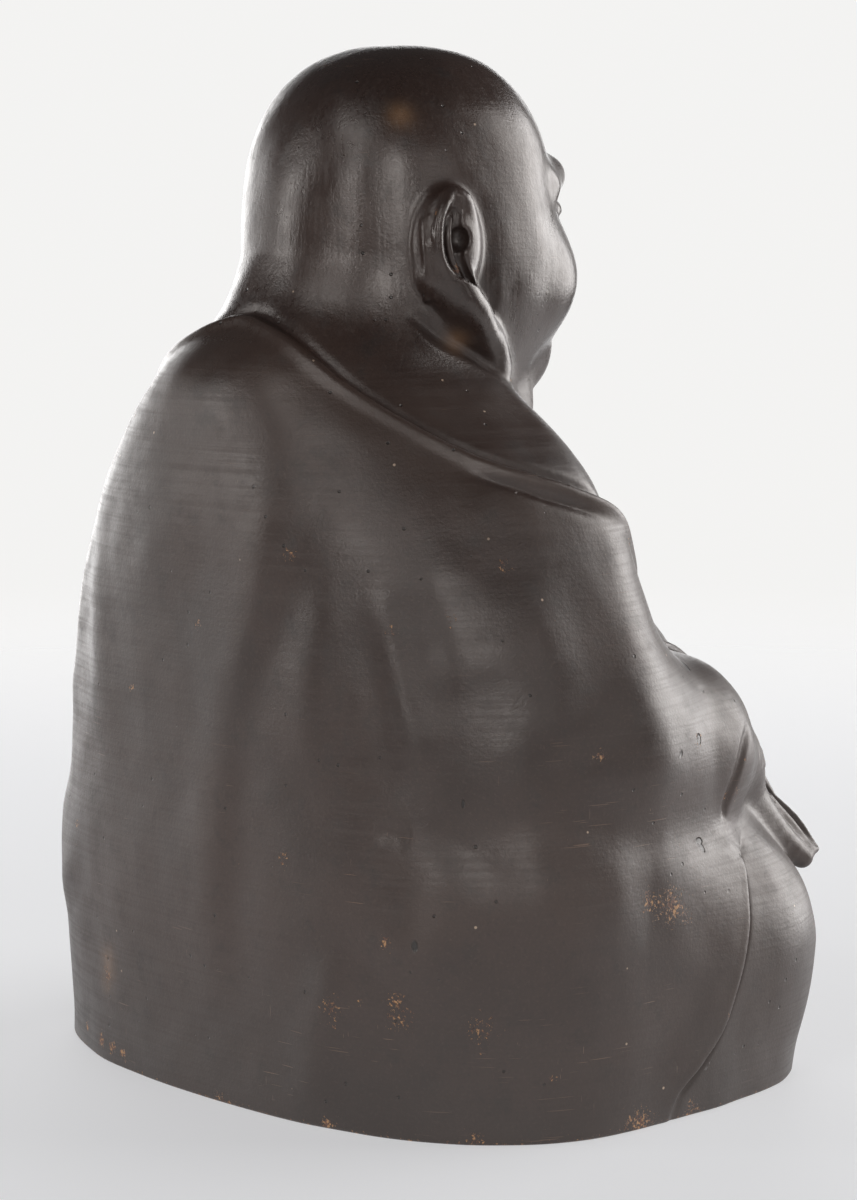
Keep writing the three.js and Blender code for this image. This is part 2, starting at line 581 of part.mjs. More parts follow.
// Edges are folded away, the one that changes the form least first, until few enough faces are left.
function thin({ places, faces }, limit) {
  const TERMS = 10; // numbers in the sum of squared distances from a vertex's planes
  const planes = new Float64Array(places.length * TERMS);
  const around = places.map(() => []);
  const stamp = new Int32Array(places.length);
  const marked = new Int32Array(places.length).fill(-1);
  function normalOf(p, q, r) {
    const [ux, uy, uz] = [q[0] - p[0], q[1] - p[1], q[2] - p[2]];
    const [vx, vy, vz] = [r[0] - p[0], r[1] - p[1], r[2] - p[2]];
    return [uy * vz - uz * vy, uz * vx - ux * vz, ux * vy - uy * vx];
  }
  faces.forEach((face, f) => {
    const p = places[face[0]];
    const n = normalOf(p, places[face[1]], places[face[2]]);
    const size = Math.hypot(n[0], n[1], n[2]) || 1e-12;
    const [a, b, c] = [n[0] / size, n[1] / size, n[2] / size];
    const d = -(a * p[0] + b * p[1] + c * p[2]);
    const terms = [a * a, a * b, a * c, a * d, b * b, b * c, b * d, c * c, c * d, d * d];
    for (const v of face) {
      around[v].push(f);
      for (let i = 0; i < TERMS; i++) planes[v * TERMS + i] += terms[i] * size;
    }
  });

  // The spot that an edge is folded to is the one nearest its planes, held near the edge's middle.
  const q = new Float64Array(TERMS);
  function best(u, v) {
    for (let i = 0; i < TERMS; i++) q[i] = planes[u * TERMS + i] + planes[v * TERMS + i];
    const [p, r] = [places[u], places[v]];
    const middle = [(p[0] + r[0]) / 2, (p[1] + r[1]) / 2, (p[2] + r[2]) / 2];
    const hold = 1e-3 * (q[0] + q[4] + q[7]);
    const [a, b, c, e, f, i] = [q[0] + hold, q[1], q[2], q[4] + hold, q[5], q[7] + hold];
    const [g, h, k] = [hold * middle[0] - q[3], hold * middle[1] - q[6], hold * middle[2] - q[8]];
    const det = a * (e * i - f * f) - b * (b * i - f * c) + c * (b * f - e * c);
    let x = (g * (e * i - f * f) - b * (h * i - f * k) + c * (h * f - e * k)) / det;
    let y = (a * (h * i - f * k) - g * (b * i - f * c) + c * (b * k - h * c)) / det;
    let z = (a * (e * k - h * f) - b * (b * k - h * c) + g * (b * f - e * c)) / det;
    const reach = Math.hypot(p[0] - r[0], p[1] - r[1], p[2] - r[2]);
    if (!(Math.hypot(x - middle[0], y - middle[1], z - middle[2]) < 1.5 * reach)) [x, y, z] = middle;
    const off =
      q[0] * x * x + 2 * q[1] * x * y + 2 * q[2] * x * z + 2 * q[3] * x + q[4] * y * y +
      2 * q[5] * y * z + 2 * q[6] * y + q[7] * z * z + 2 * q[8] * z + q[9];
    return { u, v, place: [x, y, z], cost: Math.max(off, 0) + 1e-5 * reach * reach, mark: stamp[u] + stamp[v] };
  }

  const heap = [];
  function push(item) {
    let i = heap.push(item) - 1;
    while (i > 0) {
      const up = (i - 1) >> 1;
      if (heap[up].cost <= item.cost) break;
      heap[i] = heap[up];
      i = up;
    }
    heap[i] = item;
  }
  function pop() {
    const top = heap[0];
    const last = heap.pop();
    if (!heap.length) return top;
    let i = 0;
    for (let down = 1; down < heap.length; down = 2 * i + 1) {
      if (down + 1 < heap.length && heap[down + 1].cost < heap[down].cost) down++;
      if (heap[down].cost >= last.cost) break;
      heap[i] = heap[down];
      i = down;
    }
    heap[i] = last;
    return top;
  }

  let round = 0;
  function neighbours(v) {
    round++;
    marked[v] = round;
    const ring = [];
    for (const f of around[v]) {
      for (const w of faces[f]) {
        if (marked[w] === round) continue;
        marked[w] = round;
        ring.push(w);
      }
    }
    return ring;
  }

  // A fold is refused where it would pinch the skin or turn a face over.
  function turnsOver(from, to, place) {
    for (const f of around[from]) {
      const face = faces[f];
      if (face[0] === to || face[1] === to || face[2] === to) continue;
      const [p, r, s] = [places[face[0]], places[face[1]], places[face[2]]];
      const old = normalOf(p, r, s);
      const now = normalOf(face[0] === from ? place : p, face[1] === from ? place : r, face[2] === from ? place : s);
      const sizes = Math.hypot(old[0], old[1], old[2]) * Math.hypot(now[0], now[1], now[2]);
      if (!(old[0] * now[0] + old[1] * now[1] + old[2] * now[2] > 0.3 * sizes)) return true;
    }
    return false;
  }
  function pinches(u, v) {
    const ring = neighbours(u);
    const near = new Set(neighbours(v));
    return ring.filter((w) => near.has(w)).length !== 2;
  }

  for (const [a, b, c] of faces) for (const [u, v] of [[a, b], [b, c], [c, a]]) if (u < v) push(best(u, v));
  let left = faces.length;
  while (left > limit && heap.length) {
    const { u, v, place, mark } = pop();
    if (!around[u].length || !around[v].length || stamp[u] + stamp[v] !== mark) continue;
    if (pinches(u, v) || turnsOver(u, v, place) || turnsOver(v, u, place)) continue;
    places[u] = place;
    for (let i = 0; i < TERMS; i++) planes[u * TERMS + i] += planes[v * TERMS + i];
    for (const f of around[v]) {
      if (faces[f].includes(u)) {
        for (const w of faces[f]) if (w !== v) around[w].splice(around[w].indexOf(f), 1);
        left--;
      } else {
        faces[f] = faces[f].map((w) => (w === v ? u : w));
        around[u].push(f);
      }
    }
    around[v] = [];
    stamp[u]++;
    for (const w of neighbours(u)) push(best(u, w));
  }

  const order = new Map();
  around.forEach((list, v) => list.length && order.set(v, order.size));
  const kept = new Set(around.flat());
  return {
    places: [...order.keys()].map((v) => places[v]),
    faces: [...kept].map((f) => faces[f].map((v) => order.get(v))),
  };
}

// The solid is cut off flat at the floor.
const wasm = await Module();
wasm.setup();

function solidOf(geometry) {
  const numProp = 3;
  const vertProperties = Float32Array.from(geometry.attributes.position.array);
  const triVerts = Uint32Array.from(geometry.index.array);
  return new wasm.Manifold(new wasm.Mesh({ numProp, vertProperties, triVerts }));
}

function geometryOf(places, faces) {
  const geometry = new THREE.BufferGeometry();
  geometry.setAttribute("position", new THREE.BufferAttribute(Float32Array.from(places.flat()), 3));
  geometry.setIndex(faces.flat());
  return geometry;
}

function figureGeometry() {
  const rough = thin(skin(figure), FACE_LIMIT);
  const floor = geometryOf(
    [0, 1, 2, 3, 4, 5, 6, 7].map((c) => [c & 1 ? WIDTH : -WIDTH, c & 2 ? DEPTH : -DEPTH, c & 4 ? 0 : -HEIGHT]),
    [[0, 2, 1], [1, 2, 3], [4, 5, 6], [5, 7, 6], [0, 1, 4], [1, 5, 4], [2, 6, 3], [3, 6, 7], [0, 4, 2], [2, 4, 6], [1, 3, 5], [3, 7, 5]],
  );
  const solid = solidOf(geometryOf(rough.places, rough.faces)).subtract(solidOf(floor));
  const mesh = solid.getMesh();
  const geometry = new THREE.BufferGeometry();
  geometry.setAttribute("position", new THREE.BufferAttribute(mesh.vertProperties, 3));
  geometry.setIndex(new THREE.BufferAttribute(mesh.triVerts, 1));
  return geometry;
}

const bronze = new THREE.MeshStandardMaterial({ color: 0x3a2a24, roughness: 0.42, metalness: 0.7 });
const seated = new THREE.Mesh(figureGeometry(), bronze);
seated.name = "seated_figure";

const group = new THREE.Group();
group.add(seated);
export default group;
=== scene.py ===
"""A seated, round-bellied figure in a long robe, cast in bronze, with a dark brown satin patina.

The figure is one form, given by its distance: below zero inside the bronze, zero on its skin and above
zero outside. Every form takes a whole array of places at once, three rows (x, y and z) by any number of
columns, laid out in parts of which 100 make the figure's height. x runs to the figure's left, y to its back.
"""

import math
from collections import namedtuple

import bpy
import numpy as np
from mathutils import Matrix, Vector


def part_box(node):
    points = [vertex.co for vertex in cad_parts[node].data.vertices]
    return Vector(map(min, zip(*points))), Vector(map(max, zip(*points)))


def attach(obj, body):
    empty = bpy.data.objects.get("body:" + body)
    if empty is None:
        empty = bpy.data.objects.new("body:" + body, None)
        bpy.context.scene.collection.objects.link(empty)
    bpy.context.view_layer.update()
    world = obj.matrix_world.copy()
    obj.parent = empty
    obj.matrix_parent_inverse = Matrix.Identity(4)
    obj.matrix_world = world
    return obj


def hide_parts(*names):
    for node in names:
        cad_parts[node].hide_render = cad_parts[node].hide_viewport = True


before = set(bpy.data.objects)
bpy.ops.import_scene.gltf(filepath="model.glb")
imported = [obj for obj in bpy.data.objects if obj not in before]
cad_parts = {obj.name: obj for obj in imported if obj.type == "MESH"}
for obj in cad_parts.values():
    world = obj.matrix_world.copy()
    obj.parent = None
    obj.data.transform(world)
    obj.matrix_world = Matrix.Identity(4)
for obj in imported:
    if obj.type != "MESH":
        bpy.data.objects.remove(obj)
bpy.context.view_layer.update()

BODY = "root"
SOLID = "seated_figure"
LOW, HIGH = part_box(SOLID)
PART = (HIGH.z - LOW.z) / 100
MM = 0.001
RIGHT, LEFT = -1, 1
NEAR = 3.0  # forms further from a place than this, in parts, don't touch the skin there


# Distances and blends


def bell(v):
    """exp(-v * v): 1 in the middle, nearly 0 from 2 on."""
    return np.exp(-v * v)


def rise(v, start, end):
    """3tt - 2ttt, with t going from 0 at the start to 1 at the end."""
    t = np.clip((v - start) / (end - start), 0, 1)
    return t * t * (3 - 2 * t)


def join(a, b, k):
    """The lower of two distances, less hhk/4 where they differ by less than k and h = 1 - |a - b| / k."""
    h = np.maximum(k - np.abs(a - b), 0) / k
    return np.minimum(a, b) - h * h * k / 4


def cut(a, b, k):
    """Form a without form b, its edge rounded over k."""
    return -join(-a, b, k)


def column(place):
    return np.array(place, float).reshape(3, 1)


def smooth_line(places, stops):
    """A Catmull-Rom spline through the places: each span is a cubic whose slope at a place comes from the
    places before and after it, spaced by the square root of how far apart they lie."""
    p = np.array(places, float)
    p = np.vstack([2 * p[0] - p[1], p, 2 * p[-1] - p[-2]])
    u = np.linspace(0, len(places) - 1, stops + 1)
    i = np.minimum(u.astype(int), len(places) - 2)
    w = (u - i)[:, None]
    p0, p1, p2, p3 = p[i], p[i + 1], p[i + 2], p[i + 3]
    g0, g1, g2 = (np.linalg.norm(b - a, axis=1, keepdims=True) ** 0.5 for a, b in ((p0, p1), (p1, p2), (p2, p3)))
    m1 = ((p1 - p0) / g0 - (p2 - p0) / (g0 + g1) + (p2 - p1) / g1) * g1
    m2 = ((p2 - p1) / g1 - (p3 - p1) / (g1 + g2) + (p3 - p2) / g2) * g1
    return p1 + w * (m1 + w * (3 * (p2 - p1) - 2 * m1 - m2 + w * (2 * (p1 - p2) + m1 + m2)))


Form = namedtuple("Form", "distance blend middle reach")


def ball(centre, size, blend=1.0, power=2.0):
    """A ball with half axes of that size: q = (sum of |p / size| ** power) ** (1 / power), and the distance
    is (q - 1) over q's own slope. It is round at power 2 and boxier above it."""
    c, r = column(centre), column(size)

    def distance(at):
        p = np.abs(at - c) / r
        q = np.maximum((p**power).sum(0) ** (1 / power), 1e-3)
        slope = q ** (1 - power) * np.sqrt(((p ** (power - 1) / r) ** 2).sum(0))
        return (q - 1) / np.maximum(slope, 1e-6)

    return Form(distance, blend, c, r.max())


def spans_of(points):
    """The middle and half length of each span between neighbouring points, and all of them taken together."""
    middle = (points.min(1) + points.max(1)).reshape(3, 1) / 2
    return middle, np.linalg.norm(points - middle, axis=0).max()


def rope(places, radii, blend=1.0, smooth=3):
    """A round rope along a smooth line through the places, or a straight one with smooth at 1: the least
    distance from its spans, less a radius that goes evenly from place to place."""
    stops = smooth * (len(places) - 1)
    points = smooth_line(places, stops).T
    radius = np.interp(np.linspace(0, len(places) - 1, stops + 1), range(len(places)), radii)

    def distance(at):
        least = np.full(at.shape[1], np.inf)
        for j in range(stops):
            a, d = points[:, j : j + 1], points[:, j + 1 : j + 2] - points[:, j : j + 1]
            t = np.clip(((at - a) * d).sum(0) / (d * d).sum(), 0, 1)
            gap = np.sqrt(((at - a - t * d) ** 2).sum(0)) - radius[j] - t * (radius[j + 1] - radius[j])
            least = np.minimum(least, gap)
        return least

    middle, reach = spans_of(points)
    return Form(distance, blend, middle, reach + max(radii))


def limb(start, end, start_radius, end_radius, blend=1.0):
    """A straight round limb."""
    return rope([start, end], [start_radius, end_radius], blend, 1)


def block_of(at):
    """The middle of a block of places, and its reach from there."""
    low, high = at.min(1, keepdims=True), at.max(1, keepdims=True)
    return (low + high) / 2, np.linalg.norm(high - low) / 2


def blended(distances, at, forms, operation=join):
    """Joins forms into the distances, or cuts them out, unless they are too far from these places."""
    middle, reach = block_of(at)
    for form in forms:
        if np.linalg.norm(form.middle - middle) < form.reach + reach + form.blend + NEAR:
            distances = operation(distances, form.distance(at), form.blend)
    return distances


def by_block(work, at, size=6.0):
    """Runs the work on one cube of space after another, so that it can leave out the forms far from each."""
    cube = np.floor((at - at.min(1, keepdims=True)) / size).astype(int)
    key = np.ravel_multi_index(tuple(cube), tuple(cube.max(1) + 1))
    order = np.argsort(key, kind="stable")
    result = np.empty(at.shape[1])
    for group in np.split(order, np.flatnonzero(np.diff(key[order])) + 1):
        result[group] = work(at[:, group])
    return result


def mirrored(places):
    """The same places on the figure's other side, in the opposite order."""
    return [(-x, y, z) for x, y, z in reversed(places)]


def side(s, *places):
    """Places given for the left side, on side s."""
    return [(s * x, y, z) for x, y, z in places]


# Lines on the skin


def outward(field, at, step=0.05):
    """The way out of a field's form, of length 1: its slope, which along each axis is the field's change
    from a step before to a step beyond, over two steps."""
    ways = [column(axis) for axis in np.eye(3) * step]
    slope = np.array([(field(at + way) - field(at - way)) / (2 * step) for way in ways])
    return slope / np.maximum(np.linalg.norm(slope, axis=0), 1e-9)


Line = namedtuple("Line", "at across middle reach")


def skin_line(field, places, stops, moves=8, pace=0.8):
    """A smooth line laid on a field's skin. Each stop moves in or out by its distance times the pace, again
    and again, and its way across is the line's own direction crossed with the way out."""
    at = smooth_line(places, stops).T
    for _ in range(moves):
        at = at - pace * field(at) * outward(field, at)
    along = np.gradient(at, axis=1)
    across = np.cross(along.T, outward(field, at).T).T
    across /= np.linalg.norm(across, axis=0)
    return Line(at, across, *spans_of(at))


def beside(line, at, margin):
    """How far places are from a line, how far across it, and how far along it from 0 to 1, all at the
    nearest point of its nearest span. Spans further than the margin are left out."""
    middle, reach = block_of(at)
    gap = np.full(at.shape[1], np.inf)
    across = np.zeros_like(gap)
    along = np.zeros_like(gap)
    starts, steps = line.at[:, :-1], np.diff(line.at, axis=1)
    off = np.linalg.norm(starts + steps / 2 - middle, axis=0) - np.linalg.norm(steps, axis=0) / 2
    for j in np.flatnonzero(off < reach + margin):
        a, d = starts[:, j : j + 1], steps[:, j : j + 1]
        t = np.clip(((at - a) * d).sum(0) / (d * d).sum(), 0, 1)
        off_line = at - a - t * d
        here = (off_line * off_line).sum(0)
        way = line.across[:, j : j + 1] + t * (line.across[:, j + 1 : j + 2] - line.across[:, j : j + 1])
        closer = here < gap
        gap = np.where(closer, here, gap)
        across = np.where(closer, (off_line * way).sum(0), across)
        along = np.where(closer, (j + t) / steps.shape[1], along)
    return np.sqrt(gap), across, along


Fold = namedtuple("Fold", "line wide high")
Edge = namedtuple("Edge", "line thick reach soft lip groove start end")
BELL_END = 3  # a bell has died away this many times its width from its line
FOLD_RISES, FOLD_FALLS = (-0.05, 0.3), (1.05, 0.7)  # along its line: from nothing, to its full height


def fold_relief(fold, at):
    """high * bell(gap / wide), fading out at the line's ends."""
    gap, _, along = beside(fold.line, at, BELL_END * fold.wide)
    return fold.high * bell(gap / fold.wide) * rise(along, *FOLD_RISES) * rise(along, *FOLD_FALLS)


def edge_relief(edge, at):
    """An edge of cloth: raised on one side of its line, where it dies away as a bell, with a lip at the
    edge and a groove beyond it."""
    gap, across, along = beside(edge.line, at, BELL_END * edge.reach)
    soft = edge.soft
    cloth = edge.thick * bell(np.minimum(across, 0) / edge.reach) * rise(across, 1.1 * soft, -0.8 * soft)
    brim = edge.lip * bell((across + 1.2 * soft) / (1.3 * soft))
    dip = edge.groove * bell((across - 1.2 * soft) / (1.1 * soft))
    ends = rise(along, *edge.start) * rise(along, *edge.end)
    return (cloth + brim - dip) * ends * (gap < 2.5 * edge.reach)


def relief(at, folds=(), edges=()):
    """The height that folds and edges add at places."""
    middle, reach = block_of(at)
    height = np.zeros(at.shape[1])
    tasks = [(f, fold_relief, f.wide) for f in folds] + [(e, edge_relief, e.reach) for e in edges]
    for form, work, width in tasks:
        if np.linalg.norm(form.line.middle - middle) < form.line.reach + reach + BELL_END * width:
            height += work(form, at)
    return height


# Robe and torso: half width, back and front at each height

LOFT = np.array([
    # z, half width, back, front
    (-6, 36, 28.4, -24),
    (0, 36.6, 28.8, -25),
    (7, 36.6, 28.8, -25.5),
    (20, 36.8, 29.4, -23),
    (34, 35.4, 29.4, -17),
    (46, 32.5, 29.6, -8.6),
    (56, 28, 29.7, -4.4),
    (63, 22.4, 28.8, -2.4),
    (69, 15.5, 27.2, 0.5),
    (75, 11.8, 21, 3),
    (82, 8, 18, 4),
])
SPINE = 5  # where the robe is widest, front to back
BACK_ROUND = 2.5  # exponent of the plan behind that line
FRONT_ROUND = (3.2, 2.0)  # exponent of the plan in front of it, low down and high up
FRONT_CHANGE = (4, 36)  # the heights between which it goes from one to the other
TOP_BLEND = 8


def loft_at(z):
    """The loft's three values at each height: a cubic between rows whose slopes at a row come from the
    rows before and after it."""
    heights, values = LOFT[:, 0], LOFT[:, 1:]
    before, after = np.vstack([LOFT[:1], LOFT[:-1]]), np.vstack([LOFT[1:], LOFT[-1:]])
    slopes = (after[:, 1:] - before[:, 1:]) / (after[:, :1] - before[:, :1])
    i = np.clip(np.searchsorted(heights, z, side="left") - 1, 0, len(heights) - 2)
    span = heights[i + 1] - heights[i]
    t = np.clip((z - heights[i]) / span, 0, 1)[:, None]
    span = span[:, None]
    s, e, ms, me = values[i], values[i + 1], slopes[i] * span, slopes[i + 1] * span
    return (s + t * (ms + t * (3 * (e - s) - 2 * ms - me + t * (2 * (s - e) + ms + me)))).T


def robe_block(at):
    """The loft as a form: at each height its plan is |x / w| ** p + |y / deep| ** p = 1."""
    x, y, z = at
    w, back, front = loft_at(z)
    behind = y > SPINE
    deep = np.where(behind, back - SPINE, SPINE - front)
    low, high = FRONT_ROUND
    p = np.where(behind, BACK_ROUND, low + (high - low) * rise(z, *FRONT_CHANGE))
    px, py = np.abs(x) / w, np.abs(y - SPINE) / deep
    q = np.maximum((px**p + py**p) ** (1 / p), 1e-6)
    slope = q ** (1 - p) * np.hypot(px ** (p - 1) / w, py ** (p - 1) / deep)
    around = (q - 1) / np.maximum(slope, 0.02)
    return -join(-around, LOFT[-1, 0] - z, TOP_BLEND)


# The shin lies across the front under the robe, and the hands rest on it.

KNEE = (23.2, -14, 13.2)
SHIN = (5, -20, 8.5)
SHIN_ROUND = (9.5, 7.8)  # its radius at the knee and at the other end


def limbs(s):
    """Upper arm, forearm, thigh, the robe over the knee, and shin."""
    shoulder, elbow, forearm, wrist = side(s, (18, 7.5, 54), (26, 3.5, 34), (25.4, -8.6, 32.6), (19.5, -19, 26))
    hip, hem, knee, shin = side(s, (19, 8, 12), (24, -13.5, -4), KNEE, SHIN)
    return [
        limb(shoulder, elbow, 9, 9.4, 5),
        limb(elbow, forearm, 9.4, 8.3, 4),
        limb(forearm, wrist, 8.1, 4.4, 2),
        limb(hip, knee, 14, 11, 7),
        limb(knee, hem, 11.2, 9.6, 4),
        limb(knee, shin, *SHIN_ROUND, 6),
    ]


TORSO = [
    *limbs(RIGHT),
    *limbs(LEFT),
    ball((0, -8, 32), (23, 20, 18.5), 4),
    ball((0, 0, 52), (17, 12.5, 13), 5),
    *(ball((s * 7.5, -8, 51), (8, 5.5, 6.5), 3) for s in (RIGHT, LEFT)),
]
NAVEL = ball((0, -28.8, 31), (1.5, 1.8, 1.2), 1.5)


def trunk(at):
    return blended(robe_block(at), at, TORSO)


# Sleeve mouths and hands


def on_shin(x, degrees, lift):
    """A place on the shin: how far out to the side, how far round from its top to its front, and how far
    off its skin."""
    t = (KNEE[0] - x) / (KNEE[0] - SHIN[0])
    out = SHIN_ROUND[0] + t * (SHIN_ROUND[1] - SHIN_ROUND[0]) + lift
    y, z = (KNEE[i] + t * (SHIN[i] - KNEE[i]) for i in (1, 2))
    angle = math.radians(degrees)
    return x, y - out * math.sin(angle), z + out * math.cos(angle)


FINGER = 1.4  # radius
FINGER_ANGLES = (17, 34, 51, 68)  # places round the shin


def hand(s):
    """A palm of four limbs that fan out from the wrist, with four fingers and a thumb laid on the shin."""
    wrist = (20, -20.6, 23.6)
    forms = []
    for i, degrees in enumerate(FINGER_ANGLES):
        reach = 0.9 * abs(i - 1.2)
        knuckle = on_shin(14.4, degrees, 1.9)
        bend = on_shin(10.6 + reach / 2, degrees + 1, 2)
        tip = on_shin(7 + reach, degrees + 2, 1)
        forms.append(limb(*side(s, wrist, knuckle), 2.2, 1.25 * FINGER, 1.2))
        forms.append(limb(*side(s, knuckle, bend), 1.1 * FINGER, FINGER, 0.5))
        forms.append(limb(*side(s, bend, tip), FINGER, 0.85 * FINGER, 0.3))
    thumb = side(s, (18.4, -21.6, 24.6), (14.6, -23.4, 24), (11.2, -24.2, 22.8))
    return forms + [
        limb(*thumb[:2], 2, FINGER, 1),
        limb(*thumb[1:], FINGER, 0.85 * FINGER, 0.4),
    ]


def sleeve(s):
    """The sleeve narrows to a flattened mouth on the knee; a fold hangs over it, and it has two lips with a
    slit between them. Gives what is added, and the slit."""
    drop = side(
        s, (24.8, -13.5, 32), (23.8, -18.2, 29.8), (23.8, -20.4, 26.4), (25, -23.4, 22.8), (26.6, -27.2, 19.8)
    )
    inner = side(s, (20.6, -21.5, 26.6), (22.6, -25, 23.6), (25.8, -28, 20.2))
    fold = side(s, (24.6, -21.2, 32.6), (24.2, -22.7, 29.4), (23.8, -22, 25.6))
    near_lip = side(s, (24.2, -24.6, 25.6), (25.4, -26.6, 23), (26.7, -28.4, 20.3))
    far_lip = side(s, (22.4, -26.2, 25.6), (24.4, -28.2, 23.1), (26.5, -29.1, 20.4))
    loop = side(s, (21.9, -25.4, 27.9), (22.3, -26.6, 25.9))
    slit = side(s, (23, -25.9, 26.1), (25, -27.9, 23.4), (26.9, -29.3, 20.9))
    added = [
        rope(drop, (5.8, 4.3, 3.2, 2.4, 1.2), 1.5),
        rope(inner, (2.8, 2.3, 1.1), 1),
        rope(fold, (0.7, 1.15, 0.6), 0.6),
        rope(near_lip, (0.7, 0.75, 0.6), 0.5),
        rope(far_lip, (0.8, 0.75, 0.6), 0.4),
        rope(loop, (0.8, 0.7), 0.5),
    ]
    return added, [rope(slit, (0.35, 0.4, 0.3), 0.3)]


SLEEVES = [sleeve(RIGHT), sleeve(LEFT)]
HANDS_AND_SLEEVES = [*hand(RIGHT), *hand(LEFT), *SLEEVES[0][0], *SLEEVES[1][0]]
HOLLOWS = [NAVEL, *SLEEVES[0][1], *SLEEVES[1][1]]
CARVED_FROM = 2.5  # the relief is worked out only where the skin is nearer than this


def body(at, carved):
    d = trunk(at)
    if carved and np.abs(d).min() < CARVED_FROM:
        d = d - relief(at, ROBE_FOLDS, ROBE_EDGES)
    d = blended(d, at, HANDS_AND_SLEEVES)
    return blended(d, at, HOLLOWS, cut)


# Head, in its own axes before it is turned on the neck

HEAD_TURN = math.radians(-9)  # towards the figure's right
NECK = 6  # how far back the neck's axis lies
HEAD = [
    ball((0, 1, 76), (13.2, 13.4, 11), 6),
    limb((0, 7.5, 80), (0, 7.5, 62), 9.6, 15.5, 6),
    limb((-5, -4.4, 65), (5, -4.4, 65), 3.6, 3.6, 3),
    ball((0, -9.4, 69.8), (5, 3.2, 3.4), 4),
]
SKULL = ball((0, 3.4, 84.6), (13.8, 14.5, 15.4), power=2.35)
SOCKETS = [ball((s * 4.9, -13, 84.4), (3.1, 2.1, 1.9), 1.6) for s in (RIGHT, LEFT)]
EYES = [ball((s * 4.9, -9.9, 84), (2.7, 2, 1.8), 0.5) for s in (RIGHT, LEFT)]


def face(s):
    """Cheek, brow, nostril and half of each lip."""
    return [
        ball((s * 6.2, -7.8, 77.6), (4.7, 4.1, 4.8), 3),
        limb(*side(s, (2, -11.2, 87), (5.2, -10.6, 87.6)), 0.8, 0.9, 2.6),
        limb(*side(s, (5.2, -10.6, 87.6), (8.6, -8.4, 86.6)), 0.9, 0.7, 2.6),
        ball((s * 1.9, -12.9, 79), (1.35, 1.5, 1.15), 0.7),
        limb(*side(s, (0, -12.2, 76), (2.6, -11.7, 75.6)), 0.9, 0.7, 1.2),
        limb(*side(s, (0, -11.9, 73.6), (2, -11.5, 74)), 1.1, 0.8, 1.2),
    ]


NOSE = [limb((0, -11.6, 86.6), (0, -13.7, 80.4), 0.9, 1.4, 1.6), ball((0, -13.9, 79.7), (1.6, 1.7, 1.5), 1)]
FACE = [*face(RIGHT), *face(LEFT), *NOSE]


def bare_head(at):
    d = blended(SKULL.distance(at), at, HEAD)
    d = blended(d, at, SOCKETS, cut)
    d = blended(d, at, FACE)
    return blended(d, at, EYES)


def ear(s):
    """A long-lobed ear: its shell and lobe with two low ridges behind, the hollow in it, the rim, inner fold
    and front that are added then, and the deep bowl in its middle."""
    rim = side(
        s, (14.7, 5.1, 80.9), (14.9, 5.3, 82.2), (15.1, 5.6, 83.6), (15.2, 6.3, 85), (15.1, 7.3, 85.5),
        (15.7, 8.3, 84.8), (16, 9.1, 83.4), (16, 9.3, 81.8), (16, 9.1, 79.9), (15.9, 8.4, 78.5),
        (15.8, 7.4, 77.5), (15.6, 6.3, 76.8),
    )
    lobe = side(
        s, (15.3, 6.7, 77.4), (15.2, 5.9, 76), (15, 4.7, 74.6), (14.6, 3.4, 72.9), (14.1, 2, 71.3), (13.6, 0.9, 69.6)
    )
    bay = side(s, (16.2, 7.5, 83.8), (16.5, 8, 81.8), (16.4, 7.8, 80), (16.2, 6.9, 78.5), (16, 5.7, 77.2))
    inner = side(s, (15.6, 7.8, 83.3), (15.8, 8.1, 81.9), (15.8, 8, 80.7), (15.7, 7.5, 79.2), (15.5, 6.5, 77.8))
    root = side(s, (14.2, 8.4, 77.6), (14.1, 6.4, 75), (13.8, 4.4, 72.8))
    near = side(s, (14.9, 9.5, 83.3), (15.5, 9.65, 81), (15.4, 9.3, 78.7), (14.7, 8.8, 76))
    far = side(s, (14.4, 9.8, 83), (15, 10.05, 81), (14.9, 9.7, 78.7), (14.1, 9.3, 75.8))
    solid = [
        ball((s * 14, 6.9, 80.8), (2.6, 3.4, 5.4), 1),
        rope(lobe, (1.5, 1.75, 1.75, 1.55, 1.3, 1), 1),
        rope(root, (1.5, 1.5, 1.1), 1.2),
        rope(near, (0.15, 0.28, 0.28, 0.2), 0.5),
        rope(far, (0.15, 0.28, 0.28, 0.2), 0.5),
    ]
    hollow = [rope(bay, (0.75, 1.1, 1.05, 0.75, 0.4), 0.25)]
    edges = [
        rope(rim, (0.6, 0.85, 0.95, 0.95, 0.8, 0.5, 0.42, 0.4, 0.42, 0.45, 0.55, 0.7), 0.35),
        rope(inner, (0.25, 0.35, 0.38, 0.36, 0.25), 0.25),
        ball((s * 14.8, 5.7, 80.6), (0.8, 0.6, 0.9), 0.4),
    ]
    bowl = [ball((s * 15.8, 6.9, 81.4), (1, 0.85, 1.1), 0.45)]
    return solid, hollow, edges, bowl


EARS = [ear(RIGHT), ear(LEFT)]


def head(at, carved):
    d = bare_head(at)
    if carved and np.abs(d).min() < CARVED_FROM:
        d = d - relief(at, FACE_LINES)
    for solid, hollow, edges, bowl in EARS:
        d = blended(d, at, solid)
        d = blended(d, at, hollow, cut)
        d = blended(d, at, edges)
        d = blended(d, at, bowl, cut)
    return d


def turned(at):
    """Places in the head's own axes: turned about the neck by the head's turn."""
    x, y, z = at
    c, s = math.cos(HEAD_TURN), math.sin(HEAD_TURN)
    return np.array([c * x + s * (y - NECK), c * (y - NECK) - s * x + NECK, z])


HEAD_FROM = 50  # the head's forms reach no lower than this height
HEAD_BLEND = 3
FLOOR_BLEND = 0.4


def plain_figure(at):
    """The figure without its folds, lines and ears."""
    return join(body(at, carved=False), bare_head(turned(at)), HEAD_BLEND)


